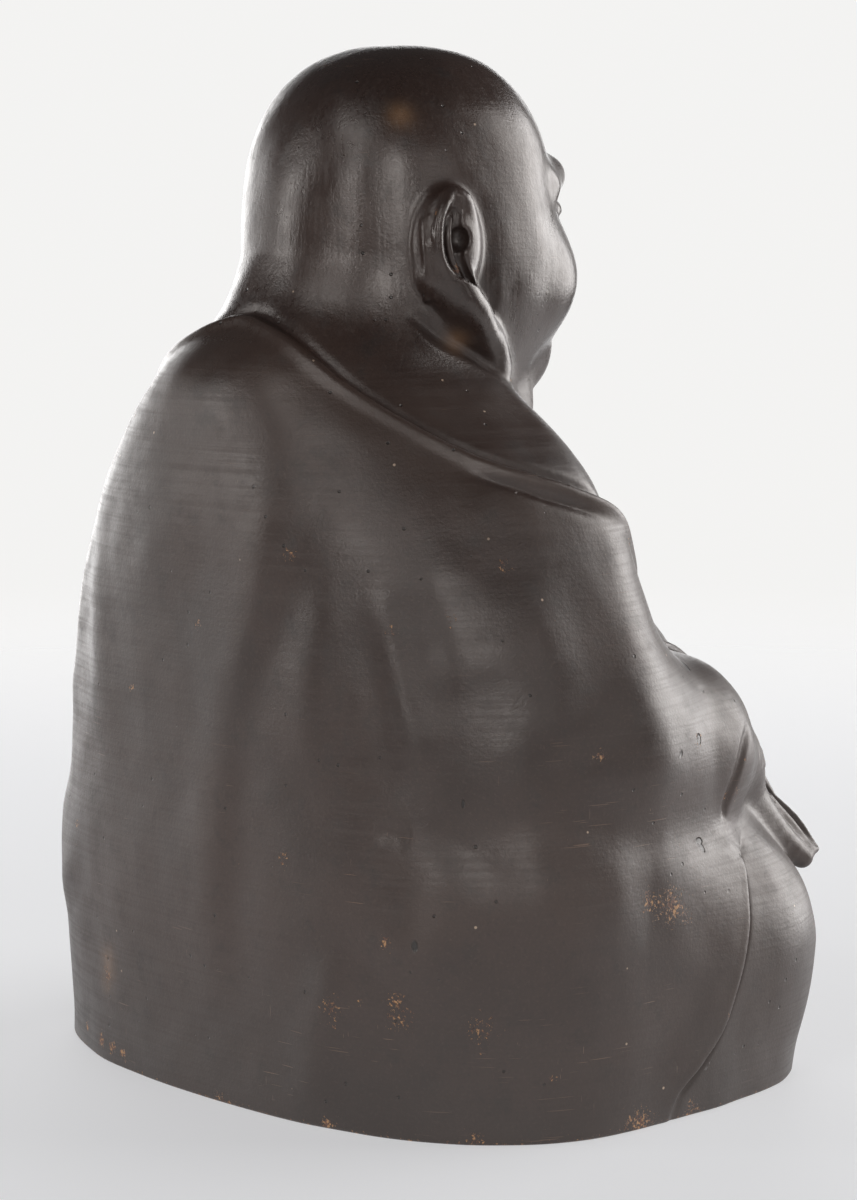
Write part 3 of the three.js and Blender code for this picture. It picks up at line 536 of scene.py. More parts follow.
def figure(at, carved=False):
    """The whole figure's distance, with its relief or without."""
    d = body(at, carved)
    if at[2].max() > HEAD_FROM:
        d = join(d, head(turned(at), carved), HEAD_BLEND)
    if carved:
        d = d - waviness(at) - relief(at, NECK_CREASES)
    return cut(d, at[2], FLOOR_BLEND)


# Edges of the robe, and its folds

COLLAR_SIDE = [
    (-13, -24, 19), (-18.5, -20, 28), (-20.5, -13, 38), (-23, -7, 47), (-26.5, -1.5, 54),
    (-27.8, 4, 57.5), (-25, 12.5, 60.4), (-19.3, 17.6, 63.4), (-11.9, 21.6, 68.4), (-5, 22.6, 73),
]
HEM_SIDE = [
    (-37.3, 3, -3), (-37.5, 1.4, 2.1), (-37.5, -1, 4.5), (-37, -4, 7.5), (-37.6, -5.8, 11.1), (-37.2, -8.1, 16.7),
    (-36.3, -8.9, 19.4), (-35.2, -9.7, 21.6), (-34, -10.3, 23.3), (-31.7, -12.6, 25),
]


def robe_edges():
    """The collar, which runs up the front, round the nape and down, and the hem up each side."""
    collar = skin_line(trunk, COLLAR_SIDE + [(0, 22.6, 74.6)] + mirrored(COLLAR_SIDE), stops=60)
    right_hem, left_hem = (skin_line(trunk, places, stops=24) for places in (HEM_SIDE, mirrored(HEM_SIDE)))
    hem = {"thick": 0.9, "reach": 4, "soft": 0.42, "lip": 0.1, "groove": 0.4}
    return [
        Edge(collar, thick=0.8, reach=6, soft=0.6, lip=0.6, groove=0.5, start=(0, 0.08), end=(1, 0.92)),
        Edge(right_hem, **hem, start=(0, 0.25), end=(1.02, 0.8)),
        Edge(left_hem, **hem, start=(-0.02, 0.2), end=(1, 0.75)),
    ]


# Each fold: its places, its width and its height, below zero in a valley. These are on the right side only.
RIGHT_FOLDS = [
    ([(-11, 24, 66), (-11, 28.6, 52), (-7, 30, 37), (-3.8, 30.5, 24), (-1.8, 30, 8)], 4.5, 0.8),
    ([(-15, 25, 60), (-12.7, 28.8, 48.7), (-8.5, 30, 37), (-6.7, 30, 22), (-6.6, 29, 6)], 3, -0.55),
    ([(-20.7, 25.9, 49.2), (-22.9, 26.3, 41.3), (-25.3, 26, 31.6)], 1.9, -0.3),
    ([(-27, 18.5, 52), (-31, 18.5, 43), (-33, 18, 36)], 3.4, -0.2),
    ([(-30.5, 9.3, 52.4), (-35.5, 8.3, 40), (-37.3, 7.5, 29)], 3.4, -0.4),
    ([(-19.3, 28.6, 17.3), (-16.5, 28.7, 9), (-15.1, 28.5, 1)], 2.6, 0.55),
    ([(-22.9, 27.1, 28.7), (-26.4, 25.7, 28)], 1, -0.35),
    ([(-22.4, 17.2, 60), (-26.2, 10.7, 57.6), (-28.2, 2.5, 54.6)], 0.7, -0.55),
]
# These are on both sides, given for the right one.
PAIRED_FOLDS = [
    ([(-18, 26, 52.6), (-16.6, 28.4, 42), (-14.9, 29.4, 31)], 2.8, 0.4),
    ([(-20.3, 24.6, 53.6), (-23.2, 25.3, 45.7), (-25.6, 25.1, 38.8), (-26, 25.5, 31.6)], 2.3, 0.4),
    ([(-23.6, 23.2, 52), (-26.3, 23.6, 44), (-28.2, 23.4, 37)], 2.4, -0.22),
    ([(-24, 20.6, 54.5), (-27.3, 21.2, 47.6), (-29.9, 21.1, 40.6)], 3.6, 0.35),
    ([(-28.8, 15.3, 51.8), (-32.9, 15.4, 42.2), (-35, 15, 35.2)], 3.6, 0.4),
    ([(-26, 25.4, 29), (-35.5, 15.5, 29), (-37, 2, 28.5), (-33, -8, 26)], 3.6, -0.6),
    ([(-31.9, 21.8, 26.5), (-28.6, 24.8, 20.6), (-24.2, 26.9, 14.2)], 4.6, 0.7),
    ([(-32, 21, 23), (-36, 13, 22.5), (-37.5, 5, 21.5)], 4.4, 0.7),
    # Where the arm swells over the sleeve
    (
        [(-32.6, -12.3, 35.6), (-33.7, -10.8, 34.1), (-34, -9.9, 32.3), (-33.6, -8.5, 28.6), (-33, -8.3, 26.5)],
        0.5, -0.55,
    ),
]
# The crease where the collar meets the neck
NECK_SIDE = [([(-12.4, 13, 74.6), (-13.9, 10.2, 72.2), (-15, 6.5, 70.2), (-16.4, 3.6, 67.6)], 0.7, -0.6)]
# Lines of the face on each side: under the lid, over it, and from the nose past the mouth
FACE_SIDE = [
    ([(2.5, -11.5, 83.5), (4.9, -12, 83), (7.5, -10.6, 83.7)], 0.4, -0.5),
    ([(2.6, -11, 85.6), (5, -11.2, 86), (7.8, -9.8, 85.2)], 0.4, -0.25),
    ([(3.2, -12.2, 80), (4.6, -12, 77.8), (5.4, -11.4, 75.2)], 0.6, -0.4),
]
MOUTH = ([(-5, -11.6, 75.6), (-2.6, -12.6, 74.8), (0, -13, 74.9), (2.6, -12.6, 74.8), (5, -11.6, 75.6)], 0.45, -0.7)


def both_sides(folds):
    """Folds given for one side, and the same ones on the other."""
    return folds + [(mirrored(places), wide, high) for places, wide, high in folds]


def laid(field, folds, stops=None):
    """Folds laid on a field's skin, with that many stops each, or three for each of their places."""
    return [Fold(skin_line(field, p, stops or 3 * len(p)), wide, high) for p, wide, high in folds]


def make_waves(count=28, short=3.5, long=14, height=0.022):
    """Sines in random directions, each with a length between short and long parts and a height in keeping
    with its length: how fast each goes round along x, y and z, where it starts, and its height."""
    rng = np.random.default_rng(11)
    way = rng.normal(size=(count, 3))
    length = rng.uniform(short, long, count)
    turns = 2 * math.pi * way / np.linalg.norm(way, axis=1, keepdims=True) / length[:, None]
    return turns, rng.uniform(0, 2 * math.pi, (count, 1)), height * length[:, None] / long


def waviness(at):
    """Hand finishing leaves the skin a little uneven: the sum of the waves."""
    turns, start, height = WAVES
    return (height * np.sin(turns @ at + start)).sum(0)


ROBE_EDGES = robe_edges()
ROBE_FOLDS = laid(trunk, RIGHT_FOLDS + both_sides(PAIRED_FOLDS))
FACE_LINES = laid(bare_head, [MOUTH] + both_sides(FACE_SIDE), stops=10)
NECK_CREASES = laid(plain_figure, both_sides(NECK_SIDE))
WAVES = make_waves()


# The mesh

CELL = 0.9 * MM / PART  # pitch of the lattice, in parts
LATTICE_LOW = np.array((-39, -31, -2))
LATTICE_HIGH = np.array((39, 32, 102))
SPARE = 8  # room for cells beyond the lattice's high end, in cells
FIRST_CUBE = 16  # side of the first cubes, in cells
NEAR_CUBE = 1.3  # a cube is kept where its middle is less than this many sides from the skin,
NEAR_CELL = 0.5  # and this many cells more
CARVED_CUBE = 2  # the relief counts for cubes up to this side; larger ones get room for it instead
RELIEF_ROOM = 1.2  # that room, in parts
TRIANGLES = 190000
CORNERS = np.array([(c & 1, (c >> 1) & 1, c >> 2) for c in range(8)])


def carved_figure(at):
    return by_block(lambda block: figure(block, carved=True), at)


def cells_near_skin():
    """Cubes of many cells are cut in eight again and again, and only those that the skin may pass through
    are kept, down to single cells. Gives each one's lowest corner, counted in cells."""
    size = FIRST_CUBE
    counts = np.ceil((LATTICE_HIGH - LATTICE_LOW) / CELL / size).astype(int)
    cells = np.stack(np.meshgrid(*(np.arange(n) for n in counts), indexing="ij"), -1).reshape(-1, 3) * size
    while size > 1:
        middle = (LATTICE_LOW + (cells + size / 2) * CELL).T
        large = size > CARVED_CUBE
        distance = by_block(figure, middle) if large else carved_figure(middle)
        cells = cells[np.abs(distance) < (NEAR_CUBE * size + NEAR_CELL) * CELL + large * RELIEF_ROOM]
        size //= 2
        cells = (cells[:, None, :] + CORNERS * size).reshape(-1, 3)
    return cells


def skin_cells():
    """Where the skin leaves a cell through one of its sides, the next cell is taken in too, till none is
    missing. Gives the lattice's shape, the step in its count of nodes along x, y and z, the lowest node of
    each cell, and the distances at its corners."""
    cells = cells_near_skin()
    shape = cells.max(0) + SPARE
    stride = np.array([shape[1] * shape[2], shape[2], 1])
    offsets = CORNERS @ stride
    first, nodes, value = np.zeros(0, int), np.zeros(0, int), np.zeros(0)
    more = np.unique(cells @ stride)
    while len(more):
        fresh = np.setdiff1d(more[:, None] + offsets, nodes)
        place = column(LATTICE_LOW) + np.array(np.unravel_index(fresh, shape)) * CELL
        value = np.concatenate((value, carved_figure(place)))
        nodes = np.concatenate((nodes, fresh))
        order = np.argsort(nodes)
        nodes, value = nodes[order], value[order]
        first = np.union1d(first, more)
        solid = value[np.searchsorted(nodes, more[:, None] + offsets)] < 0
        beyond = []
        for axis in range(3):
            for far in (0, 1):
                side_of_cell = solid[:, CORNERS[:, axis] == far]
                leaves = side_of_cell.any(1) & ~side_of_cell.all(1)
                beyond.append(more[leaves] + (2 * far - 1) * stride[axis])
        more = np.setdiff1d(np.concatenate(beyond), first)
    return shape, stride, first, value[np.searchsorted(nodes, first[:, None] + offsets)]


def skin_mesh():
    """A net over the skin: each cell that the skin passes through holds one vertex, at the mean of where the
    skin crosses the cell's edges, and each crossed edge makes a four-sided face of the cells around it."""
    shape, stride, first, corner = skin_cells()
    inside = corner < 0
    crossed = inside.any(1) & ~inside.all(1)
    first, corner, inside = first[crossed], corner[crossed], inside[crossed]
    crossings = np.zeros((len(first), 3))
    count = np.zeros(len(first))
    for a in range(8):
        for axis in range(3):
            b = a | (1 << axis)
            if a == b:
                continue
            hit = inside[:, a] != inside[:, b]
            t = corner[hit, a] / (corner[hit, a] - corner[hit, b])
            crossings[hit] += CORNERS[a] + t[:, None] * (CORNERS[b] - CORNERS[a])
            count[hit] += 1
    places = LATTICE_LOW + (np.array(np.unravel_index(first, shape)).T + crossings / count[:, None]) * CELL
    faces = []
    for axis in range(3):
        b, c = stride[(axis + 1) % 3], stride[(axis + 2) % 3]
        hit = inside[:, 0] != inside[:, 1 << axis]
        ring = np.searchsorted(first, first[hit, None] - np.array([0, b, b + c, c]))
        ring[~inside[hit, 0]] = ring[~inside[hit, 0]][:, ::-1]
        faces.append(ring)
    return places, np.concatenate(faces)


def settle(at, step=0.03, least=0.05, most=0.3):
    """Moves places onto the carved skin, along its slope times their distance over the slope's square. That
    square counts as no less than the least, and the factor stays within the most either way."""
    d = carved_figure(at)
    slope = np.array([carved_figure(at + column(axis)) - d for axis in np.eye(3) * step]) / step
    return at - slope * np.clip(d / np.maximum((slope * slope).sum(0), least), -most, most)


def mesh_object(name, places, faces):
    mesh = bpy.data.meshes.new(name)
    mesh.from_pydata(places, [], faces)
    made = bpy.data.objects.new(name, mesh)
    bpy.context.scene.collection.objects.link(made)
    return made


def make_figure():
    """The net over the skin is thinned where the form is plain, and its vertices are laid on the form."""
    places, faces = skin_mesh()
    piece = mesh_object("bronze_figure", places * PART, faces)
    thin = piece.modifiers.new("thin", "DECIMATE")
    thin.ratio = min(1.0, TRIANGLES / (2 * len(faces)))
    thin.use_collapse_triangulate = True
    mesh = bpy.data.meshes.new_from_object(piece.evaluated_get(bpy.context.evaluated_depsgraph_get()))
    piece.modifiers.clear()
    piece.data = mesh
    at = np.empty(3 * len(mesh.vertices))
    mesh.vertices.foreach_get("co", at)
    at = settle(at.reshape(-1, 3).T / PART)
    at[2] = np.maximum(at[2], 0)
    mesh.vertices.foreach_set("co", (at * PART).T.ravel())
    mesh.update()
    mesh.shade_smooth()
    return piece


figure_piece = make_figure()


# Finish

# Where the patina is chipped through to the metal: places, how far each reaches and how thick the chips are
CHIPPED = [
    ((-36.8, 2.6, 20.6), 2.4, 1.0), ((-36.7, 5.4, 21.4), 1.6, 0.95), ((-37, 0.4, 19.2), 1.2, 0.8),
    ((15.5, 27.8, 10.4), 0.8, 1.1), ((16, 27.7, 8.9), 0.9, 1.1), ((16.3, 27.6, 7.7), 0.6, 1.0),
    ((22, 25.9, 2.1), 0.6, 1.5), ((17.5, 27.2, 1.9), 0.8, 1.5), ((15.1, 27.7, 1.7), 0.8, 1.5),
    ((13.1, 28.1, 1.5), 0.6, 1.5), ((-3.5, 28.5, 0.1), 1.4, 1.0), ((-17.2, 27.3, 0.5), 0.7, 1.4),
    ((-30.5, 21, 0.4), 1.3, 0.9), ((-18.3, 27.6, 9.9), 0.5, 1.0), ((-21, 26.8, 12.7), 0.6, 0.9),
    ((-36.9, 6.3, 0.3), 2.4, 1.0), ((-36.8, -1, 0.4), 1.6, 0.9), ((-6.9, 29.7, 23), 0.7, 1.1),
    ((-12.7, 28.7, 25.1), 0.8, 1.1), ((-28.6, 15.7, 52.2), 0.8, 1.1), ((-27.4, 21.3, 47.9), 0.8, 1.1),
    ((-1.5, 29.6, 45.8), 0.5, 1.1), ((9.3, 29.1, 38.4), 0.5, 1.1), ((-24.1, 26.2, 18.5), 0.8, 1.1),
    ((-24.6, 25.5, 13.1), 1.2, 0.95), ((-35.4, 10.3, 35), 0.7, 1.1), ((-18.3, 27.8, 11.9), 1.8, 0.75),
    ((-25, 25.2, 11.5), 2.2, 0.75), ((-31.2, 21.1, 11), 2.0, 0.7), ((-13.6, 28.6, 53), 0.9, 0.9),
    ((-14.1, 11.7, 70.9), 0.5, 0.8), ((-35.5, -2.6, 35.3), 1.2, 0.8), ((-35, -5.5, 20), 1.5, 0.7),
]
MORE_CHIPS = 60  # further ones, anywhere
FLOOR_WEAR = (0.62, 0.7)  # how thick the chips are at the lower rim, and how far up they reach, in parts
# Where the patina is worn thin by the base, and where a coloured reflection is painted on the head and under its
# right ear: places, how far each reaches and how much
RUBBED_AND_PAINTED_REFLECTION = [
    ((-10.2, 12, 92.9), 1.2, 0.7), ((-14.2, 8.5, 71.9), 1.1, 0.6),
    ((15.5, 27.8, 10.1), 1.5, 0.75), ((16.2, 27.7, 8.2), 1.2, 0.6),
]
# Dark nicks: the middle of each, the way it runs, and its half length and half width in parts
NICKS = [
    ((-29.3, 21.5, 31.3), (-0.7, 0.6, 0.3), 0.45, 0.12), ((-26.8, 25.3, 18.5), (0.2, 0.2, 1), 0.6, 0.14),
    ((-6.9, 29.7, 22.8), (0.1, 0, 1), 0.5, 0.13), ((-35, -3.3, 25.6), (0.1, -1, 0.3), 1.0, 0.13),
    ((-35.1, -3.5, 24.9), (0, -0.2, -1), 0.7, 0.13), ((-35.5, -2.6, 35.3), (0, 0, 1), 0.5, 0.38),
    ((-29.5, -6.8, 41.2), (0, 0, 1), 0.5, 0.4), ((-36.6, 0.7, 34.7), (0.1, -0.6, 0.8), 0.7, 0.12),
    ((-36.1, -5.7, 20.4), (0, 0.3, 1), 0.4, 0.22), ((30, 20, 34), (0.5, -0.7, 0.3), 0.5, 0.12),
    ((36.5, 2, 15), (0, 0.4, 1), 0.6, 0.13), ((3, -29.5, 27), (1, 0, 0.4), 0.5, 0.12),
]
# Scratches, each kind the peaks of a noise drawn out one way: its scales along x, y and z, its turn, and
# the values from which they show and are full
SCRATCHES = [
    ((45, 45, 1500), (0.1, 0.14, 0), 0.74, 0.77),
    ((60, 60, 1500), (0.7, -0.5, 0.3), 0.745, 0.775),
    ((1500, 1500, 80), (0.5, 0.6, 0), 0.77, 0.79),
]
HEAD_BEGINS = (0.272, 0.296)  # between these heights, in metres, brushing goes over from level to upright
# Colours of the patina's clouds and of what lies in or on it; of the painted shade in hollows and the painted
# reflection on the head; and of the darker tone towards the bottom
DEEP_BROWN, BROWN = (0.025, 0.0128, 0.0098), (0.041, 0.0225, 0.0172)
MOTTLE = (0.016, 0.0105, 0.0092)
HAIRLINE = (0.06, 0.041, 0.034)
PALE_GRAIN, DARK_GRAIN = (0.075, 0.05, 0.04), (0.01, 0.0075, 0.0068)
# HOLLOW_PAINTED_SHADE is painted shade: it darkens the colour where the skin is sunk, in hollows and creases
HOLLOW_PAINTED_SHADE, RAISED_PALE = (0.011, 0.0072, 0.0062), (0.07, 0.045, 0.035)
# Orange-brown: patina worn thin by the base, and a painted reflection on the crown and under the right ear
RUBBED_THIN_AND_PAINTED_REFLECTION = (0.2, 0.105, 0.05)
SCRATCH = (0.2, 0.12, 0.08)
NEAR_FLOOR = (0.011, 0.0085, 0.0075)
COPPER, BRASS = (0.12, 0.05, 0.03), (0.45, 0.235, 0.1)
FLECK = (0.45, 0.33, 0.24)
PIT = (0.006, 0.005, 0.005)


def near_places(at, places):
    """The most that any of the places gives at each vertex: its amount times bell(gap / reach)."""
    most = np.zeros(len(at))
    for middle, reach, amount in places:
        most = np.maximum(most, amount * bell(np.linalg.norm(at - middle, axis=1) / reach))
    return most


def add_attributes(piece, off=2):
    """Keeps three numbers at each vertex. First, how sunk the skin is there: 1 less the distance at a
    place that far out, in parts, over how far out it is; this also paints shade into hollows. Second, how worn it
    is. Third, how far the patina is worn thin, which on the head paints a coloured reflection in."""
    mesh = piece.data
    count = len(mesh.vertices)
    at, out = np.empty(3 * count), np.empty(3 * count)
    mesh.vertices.foreach_get("co", at)
    mesh.vertices.foreach_get("normal", out)
    at, out = at.reshape(-1, 3) / PART, out.reshape(-1, 3)
    rng = np.random.default_rng(5)
    more = [(at[i], rng.uniform(0.3, 0.9), rng.uniform(0.75, 1.1)) for i in rng.integers(0, count, MORE_CHIPS)]
    amount, reach = FLOOR_WEAR
    layers = {
        "sunk": 1 - by_block(figure, (at + off * out).T) / off,
        "worn": np.maximum(amount * bell(at[:, 2] / reach), near_places(at, CHIPPED + more)),
        "rubbed_and_reflection": near_places(at, RUBBED_AND_PAINTED_REFLECTION),
    }
    for name, values in layers.items():
        mesh.attributes.new(name, "FLOAT", "POINT").data.foreach_set("value", values.astype(np.float32))


def wired(tree, kind, inputs, output=0, **settings):
    """A new node with its settings, its inputs set or joined, and one of its outputs given back."""
    made = tree.nodes.new("ShaderNode" + kind)
    for name, value in settings.items():
        setattr(made, name, value)
    for key, value in inputs.items():
        if isinstance(value, bpy.types.NodeSocket):
            tree.links.new(value, made.inputs[key])
        else:
            made.inputs[key].default_value = value
    return made.outputs[output]


def maths(tree, operation, *values):
    return wired(tree, "Math", dict(enumerate(values)), operation=operation)


def chain(tree, operation, *values):
    """All the values put together by one operation, from the first to the last."""
    result = values[0]
    for value in values[1:]:
        result = maths(tree, operation, result, value)
    return result


def ramp(tree, value, start, end, low=0.0, high=1.0):
    """Goes smoothly from low to high as the value goes from start to end."""
    inputs = {"Value": value, "From Min": start, "From Max": end, "To Min": low, "To Max": high}
    return wired(tree, "MapRange", inputs, interpolation_type="SMOOTHSTEP")


def stretched(tree, place, scale, turn=(0, 0, 0)):
    return wired(tree, "Mapping", {"Vector": place, "Scale": scale, "Rotation": turn})


def noise(tree, place, scale, detail=3.0, roughness=0.5):
    inputs = {"Vector": place, "Scale": scale, "Detail": detail, "Roughness": roughness}
    return wired(tree, "TexNoise", inputs, "Fac")


MIX_NUMBERS, MIX_COLOURS = (2, 3), (6, 7)  # the Mix node's input sockets for each
MIX_NUMBER, MIX_COLOUR = 0, 2  # its output sockets
SPOT_EDGE = (0.1, 0.05)  # how far from its middle a spot ends, and is full, in cells


def tint(tree, factor, *colours):
    """Goes from the first colour to the second."""
    ends = [c if isinstance(c, bpy.types.NodeSocket) else (*c, 1) for c in colours]
    return wired(tree, "Mix", {0: factor, **dict(zip(MIX_COLOURS, ends))}, MIX_COLOUR, data_type="RGBA")


def spots(tree, place, scale, channel, start, end):
    """1 in small spots and 0 elsewhere: they lie in the middles of a Voronoi lattice's cells, in those whose
    random colour has the right value."""
    gap = wired(tree, "TexVoronoi", {"Vector": place, "Scale": scale}, "Distance")
    kind = wired(tree, "SeparateColor", {0: gap.node.outputs["Color"]}, channel)
    return maths(tree, "MULTIPLY", ramp(tree, gap, *SPOT_EDGE), ramp(tree, kind, start, end))


def scratches(tree, place):
    """1 on a scratch and 0 beside it."""
    kinds = (ramp(tree, noise(tree, stretched(tree, place, s, t), 1, 1), *show) for s, t, *show in SCRATCHES)
    return chain(tree, "MAXIMUM", *kinds)


def nicks(tree, place):
    """1 inside a nick and 0 outside: each is a slim round solid, three times as deep as it is wide, where the
    place, turned along the nick and divided by its half sizes, is shorter than 1."""
    gaps = []
    for middle, way, length, width in NICKS:
        turn = Vector(way).to_track_quat("X", "Z").to_euler()
        size = tuple(v * PART for v in (length, width, 3 * width))
        inputs = {"Vector": place, "Location": tuple(v * PART for v in middle), "Rotation": turn, "Scale": size}
        inside = wired(tree, "Mapping", inputs, vector_type="TEXTURE")
        gaps.append(wired(tree, "VectorMath", {0: inside}, "Value", operation="LENGTH"))
    return ramp(tree, chain(tree, "MINIMUM", *gaps), 1.25, 0.75)


def bronze():
    """Dark brown patina over cast bronze: hairlines from brushing, level on the robe and upright on the head,
    pits, flecks, scratches, nicks, and chips down to the metal. Places and heights are in metres, and a
    noise's scale is the number of its waves in a metre."""
    material = bpy.data.materials.new("patinated_bronze")
    material.use_nodes = True
    tree = material.node_tree
    shader = tree.nodes["Principled BSDF"]
    shader.inputs["Metallic"].default_value = 0.0
    shader.inputs["IOR"].default_value = 1.8
    shader.inputs["Specular Tint"].default_value = (1, 0.935, 0.89, 1)
    place = wired(tree, "TexCoord", {}, "Object")
    height = wired(tree, "SeparateXYZ", {"Vector": place}, "Z")
    names = ("sunk", "worn", "rubbed_and_reflection")
    sunk, worn, rubbed_and_reflection = (wired(tree, "Attribute", {}, "Fac", attribute_name=name) for name in names)

    on_head = ramp(tree, height, *HEAD_BEGINS)
    level = noise(tree, stretched(tree, place, (14, 14, 900)), 1, 3, 0.6)
    upright = noise(tree, stretched(tree, place, (600, 600, 12)), 1, 3, 0.6)
    hairs = wired(tree, "Mix", {0: on_head, **dict(zip(MIX_NUMBERS, (level, upright)))}, MIX_NUMBER)
    brushed = ramp(tree, noise(tree, place, 16, 2), 0.4, 0.62, 0.35, 1)
    cloudy = noise(tree, place, 13, 4, 0.6)
    mottled = noise(tree, place, 95, 4, 0.65)
    grain = noise(tree, place, 900, 3, 0.6)
    crossed = noise(tree, stretched(tree, place, (700, 60, 700), (0.4, 0.5, 0.3)), 1, 3, 0.6)

    patchy = ramp(tree, noise(tree, place, 24, 2), 0.5, 0.62)
    scratched = chain(tree, "MULTIPLY", scratches(tree, place), patchy, ramp(tree, height, 0.2, 0.05, 0.3, 1))
    chips = maths(tree, "MULTIPLY_ADD", worn, 0.3, noise(tree, place, 850, 4, 0.7))
    chipped = ramp(tree, chips, 0.755, 0.775)
    pits = spots(tree, place, 130.0, 0, 0.31, 0.3)
    flecks = spots(tree, place, 150.0, 1, 0.955, 0.965)
    nicked = nicks(tree, place)

    colour = tint(tree, ramp(tree, cloudy, 0.36, 0.66), DEEP_BROWN, BROWN)
    metal = tint(tree, ramp(tree, noise(tree, place, 640, 3), 0.44, 0.6), COPPER, BRASS)
    # Each layer's amount, and its colour
    layers = [
        (ramp(tree, mottled, 0.52, 0.72, 0, 0.5), MOTTLE),
        (ramp(tree, hairs, 0.56, 0.78, 0, 0.25), HAIRLINE),
        (ramp(tree, grain, 0.52, 0.75, 0, 0.4), PALE_GRAIN),
        (ramp(tree, grain, 0.46, 0.25, 0, 0.5), DARK_GRAIN),
        # Painted shade: darker where the skin is sunk, in hollows and creases
        (ramp(tree, sunk, 0.2, 0.9, 0, 0.4), HOLLOW_PAINTED_SHADE),
        (ramp(tree, sunk, -0.12, -0.6, 0, 0.35), RAISED_PALE),
        # Worn-thin patina by the base; painted reflection on the crown and under the right ear
        (rubbed_and_reflection, RUBBED_THIN_AND_PAINTED_REFLECTION),
        (maths(tree, "MULTIPLY", scratched, 0.85), SCRATCH),
        (ramp(tree, height, 0.08, 0.0, 0, 0.35), NEAR_FLOOR),
        (chipped, metal),
        (flecks, FLECK),
        (maths(tree, "MAXIMUM", maths(tree, "MULTIPLY", pits, 0.8), nicked), PIT),
    ]
    for amount, over in layers:
        colour = tint(tree, amount, colour, over)
    tree.links.new(colour, shader.inputs["Base Color"])

    rough = chain(
        tree,
        "ADD",
        ramp(tree, height, 0.29, 0.26, 0.32, 0.43),
        ramp(tree, cloudy, 0.35, 0.65, -0.02, 0.03),
        ramp(tree, mottled, 0.4, 0.7, -0.02, 0.05),
        ramp(tree, hairs, 0.4, 0.7, -0.03, 0.05),
        ramp(tree, sunk, 0.1, 0.5, 0, 0.1),
        maths(tree, "MULTIPLY", chipped, 0.16),
    )
    tree.links.new(rough, shader.inputs["Roughness"])

    brush = chain(tree, "MULTIPLY", hairs, brushed, ramp(tree, on_head, 0, 1, 0.045, 0.08))
    # How high or deep each is, in millimetres
    reliefs = [
        (noise(tree, place, 38, 3), 0.45), (mottled, 0.12), (grain, 0.08), (crossed, 0.07),
        (pits, -0.4), (scratched, -0.05), (chipped, -0.08), (nicked, -0.5),
    ]
    skin = chain(tree, "ADD", brush, *(maths(tree, "MULTIPLY", value, high) for value, high in reliefs))
    bump = wired(tree, "Bump", {"Height": skin, "Strength": 1.0, "Distance": MM}, "Normal")
    tree.links.new(bump, shader.inputs["Normal"])
    return material


add_attributes(figure_piece)
figure_piece.data.materials.append(bronze())
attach(figure_piece, BODY)
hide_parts(SOLID)


# Floor, light and camera

AZIMUTH = math.radians(228)  # the camera stands behind the figure, on its right
TOWARDS = Vector((math.sin(AZIMUTH), -math.cos(AZIMUTH), 0))  # from the figure's axis to the camera
ACROSS = Vector((math.cos(AZIMUTH), math.sin(AZIMUTH), 0))  # the picture's right

PAPER_FADES = (0.6, 1.8)  # how far out the paper starts to fade into the background, and ends
PAPER_GLOWS = (0.43, 0.3)  # how much it glows, as if lit from all round: at the figure, and nearer the camera
PAPER_DIMS = (0.2, 0.42)  # how far from the figure's axis, towards the camera, it goes from one to the other
BACKGROUND = (0.9, 0.895, 0.885)
ROOM = (0.06, 0.06, 0.061)  # what the bronze mirrors between the softboxes
MIDDLE = Vector((0, 0, 0.2))  # where the softboxes face
FAR = 2.5  # how far from it they hang

# Each softbox: its bearing from the camera, to the right, and its height, in degrees; how wide and high, in
# metres; and its brightness
SOFTBOXES = {
    "white_wall": (187, 6, 2.4, 1.4, 0.85),
    "wall_right": (120, 11, 1.6, 1.7, 1.6),
    "window_right": (90, 22, 0.8, 1.8, 0.9),
    "strip_right": (44, 14, 0.45, 1.2, 0.55),
    "window_high": (-38, 42, 1.8, 0.8, 0.5),
    "strip_near": (10, 16, 0.9, 1.0, 1.1),
    "strip_half_left": (-31, 13, 0.45, 1.1, 1.5),
    "strip_left": (-87, 11, 0.6, 1.3, 1.25),
    "window_left": (-123, -1, 1.3, 1.4, 0.42),
    "wall_left": (-147, 0, 1.4, 1.5, 0.66),
}


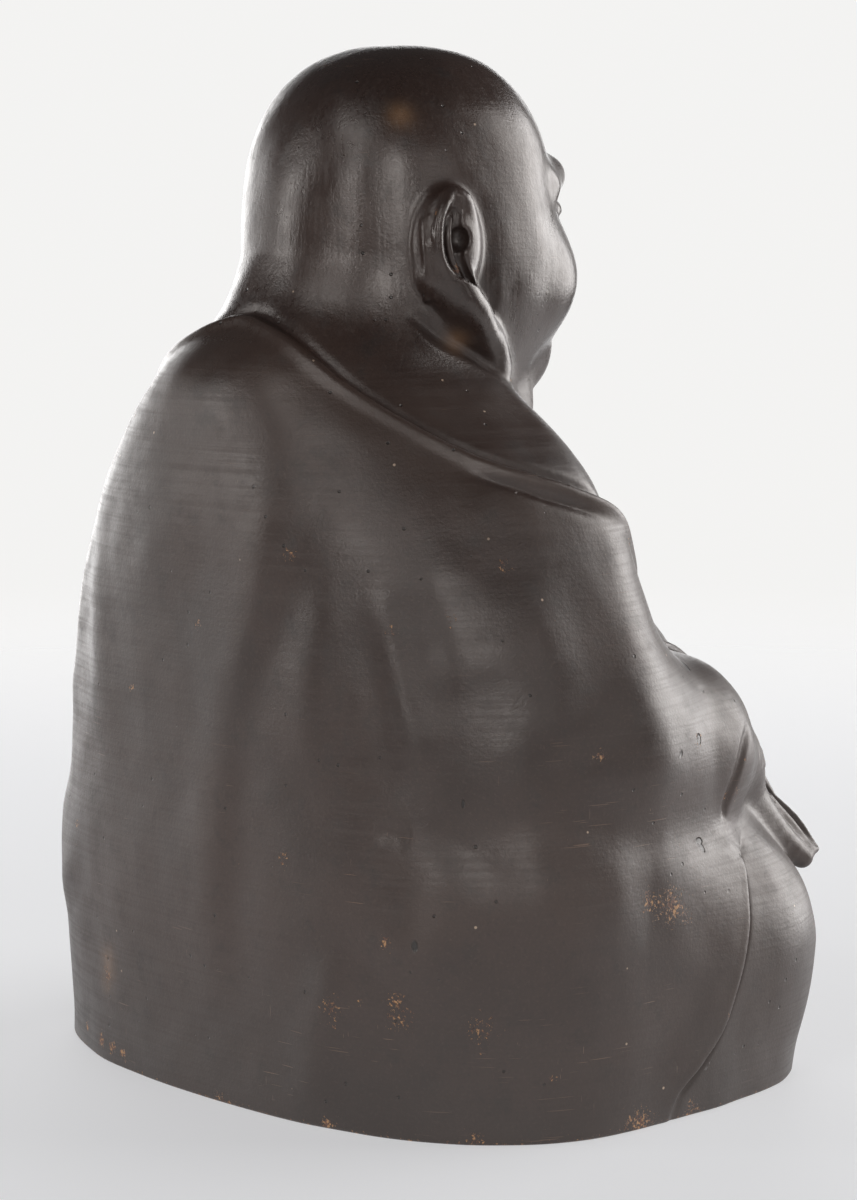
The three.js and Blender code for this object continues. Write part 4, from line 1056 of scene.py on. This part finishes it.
def make_floor(radius=3.0):
    """A sheet of pale paper that glows as painted light, less towards the camera. Far out it turns clear, so that it
    has no edge against the background.
    """
    corners = [(sx * radius, sy * radius, 0) for sx, sy in ((-1, -1), (1, -1), (1, 1), (-1, 1))]
    floor = mesh_object("floor", corners, [(0, 1, 2, 3)])
    material = bpy.data.materials.new("floor_paper")
    material.use_nodes = True
    tree = material.node_tree
    paper = tree.nodes["Principled BSDF"]
    paper.inputs["Base Color"].default_value = (0.5, 0.5, 0.505, 1)
    paper.inputs["Roughness"].default_value = 0.7
    paper.inputs["Specular IOR Level"].default_value = 0.2
    paper.inputs["Emission Color"].default_value = (0.98, 0.98, 1, 1)
    place = wired(tree, "TexCoord", {}, "Object")
    far = wired(tree, "VectorMath", {0: place}, "Value", operation="LENGTH")
    forward = wired(tree, "VectorMath", {0: place, 1: TOWARDS}, "Value", operation="DOT_PRODUCT")
    tree.links.new(ramp(tree, forward, *PAPER_DIMS, *PAPER_GLOWS), paper.inputs["Emission Strength"])
    clear = wired(tree, "BsdfTransparent", {})
    fade = ramp(tree, far, *PAPER_FADES)
    mix = wired(tree, "MixShader", {0: fade, 1: paper.outputs["BSDF"], 2: clear})
    tree.links.new(mix, tree.nodes["Material Output"].inputs["Surface"])
    floor.data.materials.append(material)


def softbox(name, bearing, height, wide, high, brightness):
    """A glowing rectangle that faces the figure; its power is its brightness times its area times pi squared."""
    turn, lift = math.radians(bearing), math.radians(height)
    way = (TOWARDS * math.cos(turn) + ACROSS * math.sin(turn)) * math.cos(lift) + Vector((0, 0, math.sin(lift)))
    light = bpy.data.lights.new(name, "AREA")
    light.shape = "RECTANGLE"
    light.size, light.size_y = wide, high
    light.energy = brightness * wide * high * math.pi**2
    lamp = bpy.data.objects.new(name, light)
    lamp.location = MIDDLE + way * FAR
    lamp.rotation_euler = (-way).to_track_quat("-Z", "Y").to_euler()
    lamp.visible_camera = False
    bpy.context.scene.collection.objects.link(lamp)


def make_camera():
    """A camera where the photograph's stood, with the same field of view."""
    distance, height = 1.3, 0.33
    aim = ACROSS * 0.0024 + Vector((0, 0, 0.182))
    focal_pixels, picture_high = 3275.6, 1200
    data = bpy.data.cameras.new("camera")
    data.sensor_fit = "VERTICAL"
    data.sensor_height = 36
    data.lens = focal_pixels / picture_high * data.sensor_height
    camera = bpy.data.objects.new("camera", data)
    camera.location = TOWARDS * distance + Vector((0, 0, height))
    camera.rotation_euler = (aim - camera.location).to_track_quat("-Z", "Y").to_euler()
    bpy.context.scene.collection.objects.link(camera)
    bpy.context.scene.camera = camera


def make_world():
    """White behind the figure, where the camera sees it, and a dim grey room for all other light."""
    bpy.context.scene.view_settings.view_transform = "Standard"
    world = bpy.data.worlds.new("studio")
    bpy.context.scene.world = world
    world.use_nodes = True
    tree = world.node_tree
    white = wired(tree, "Background", {"Color": (*BACKGROUND, 1)})
    room = wired(tree, "Background", {"Color": (*ROOM, 1)})
    seen = wired(tree, "LightPath", {}, "Is Camera Ray")
    mix = wired(tree, "MixShader", {0: seen, 1: room, 2: white})
    tree.links.new(mix, tree.nodes["World Output"].inputs["Surface"])


make_floor()
make_world()
for name, setting in SOFTBOXES.items():
    softbox(name, *setting)
make_camera()
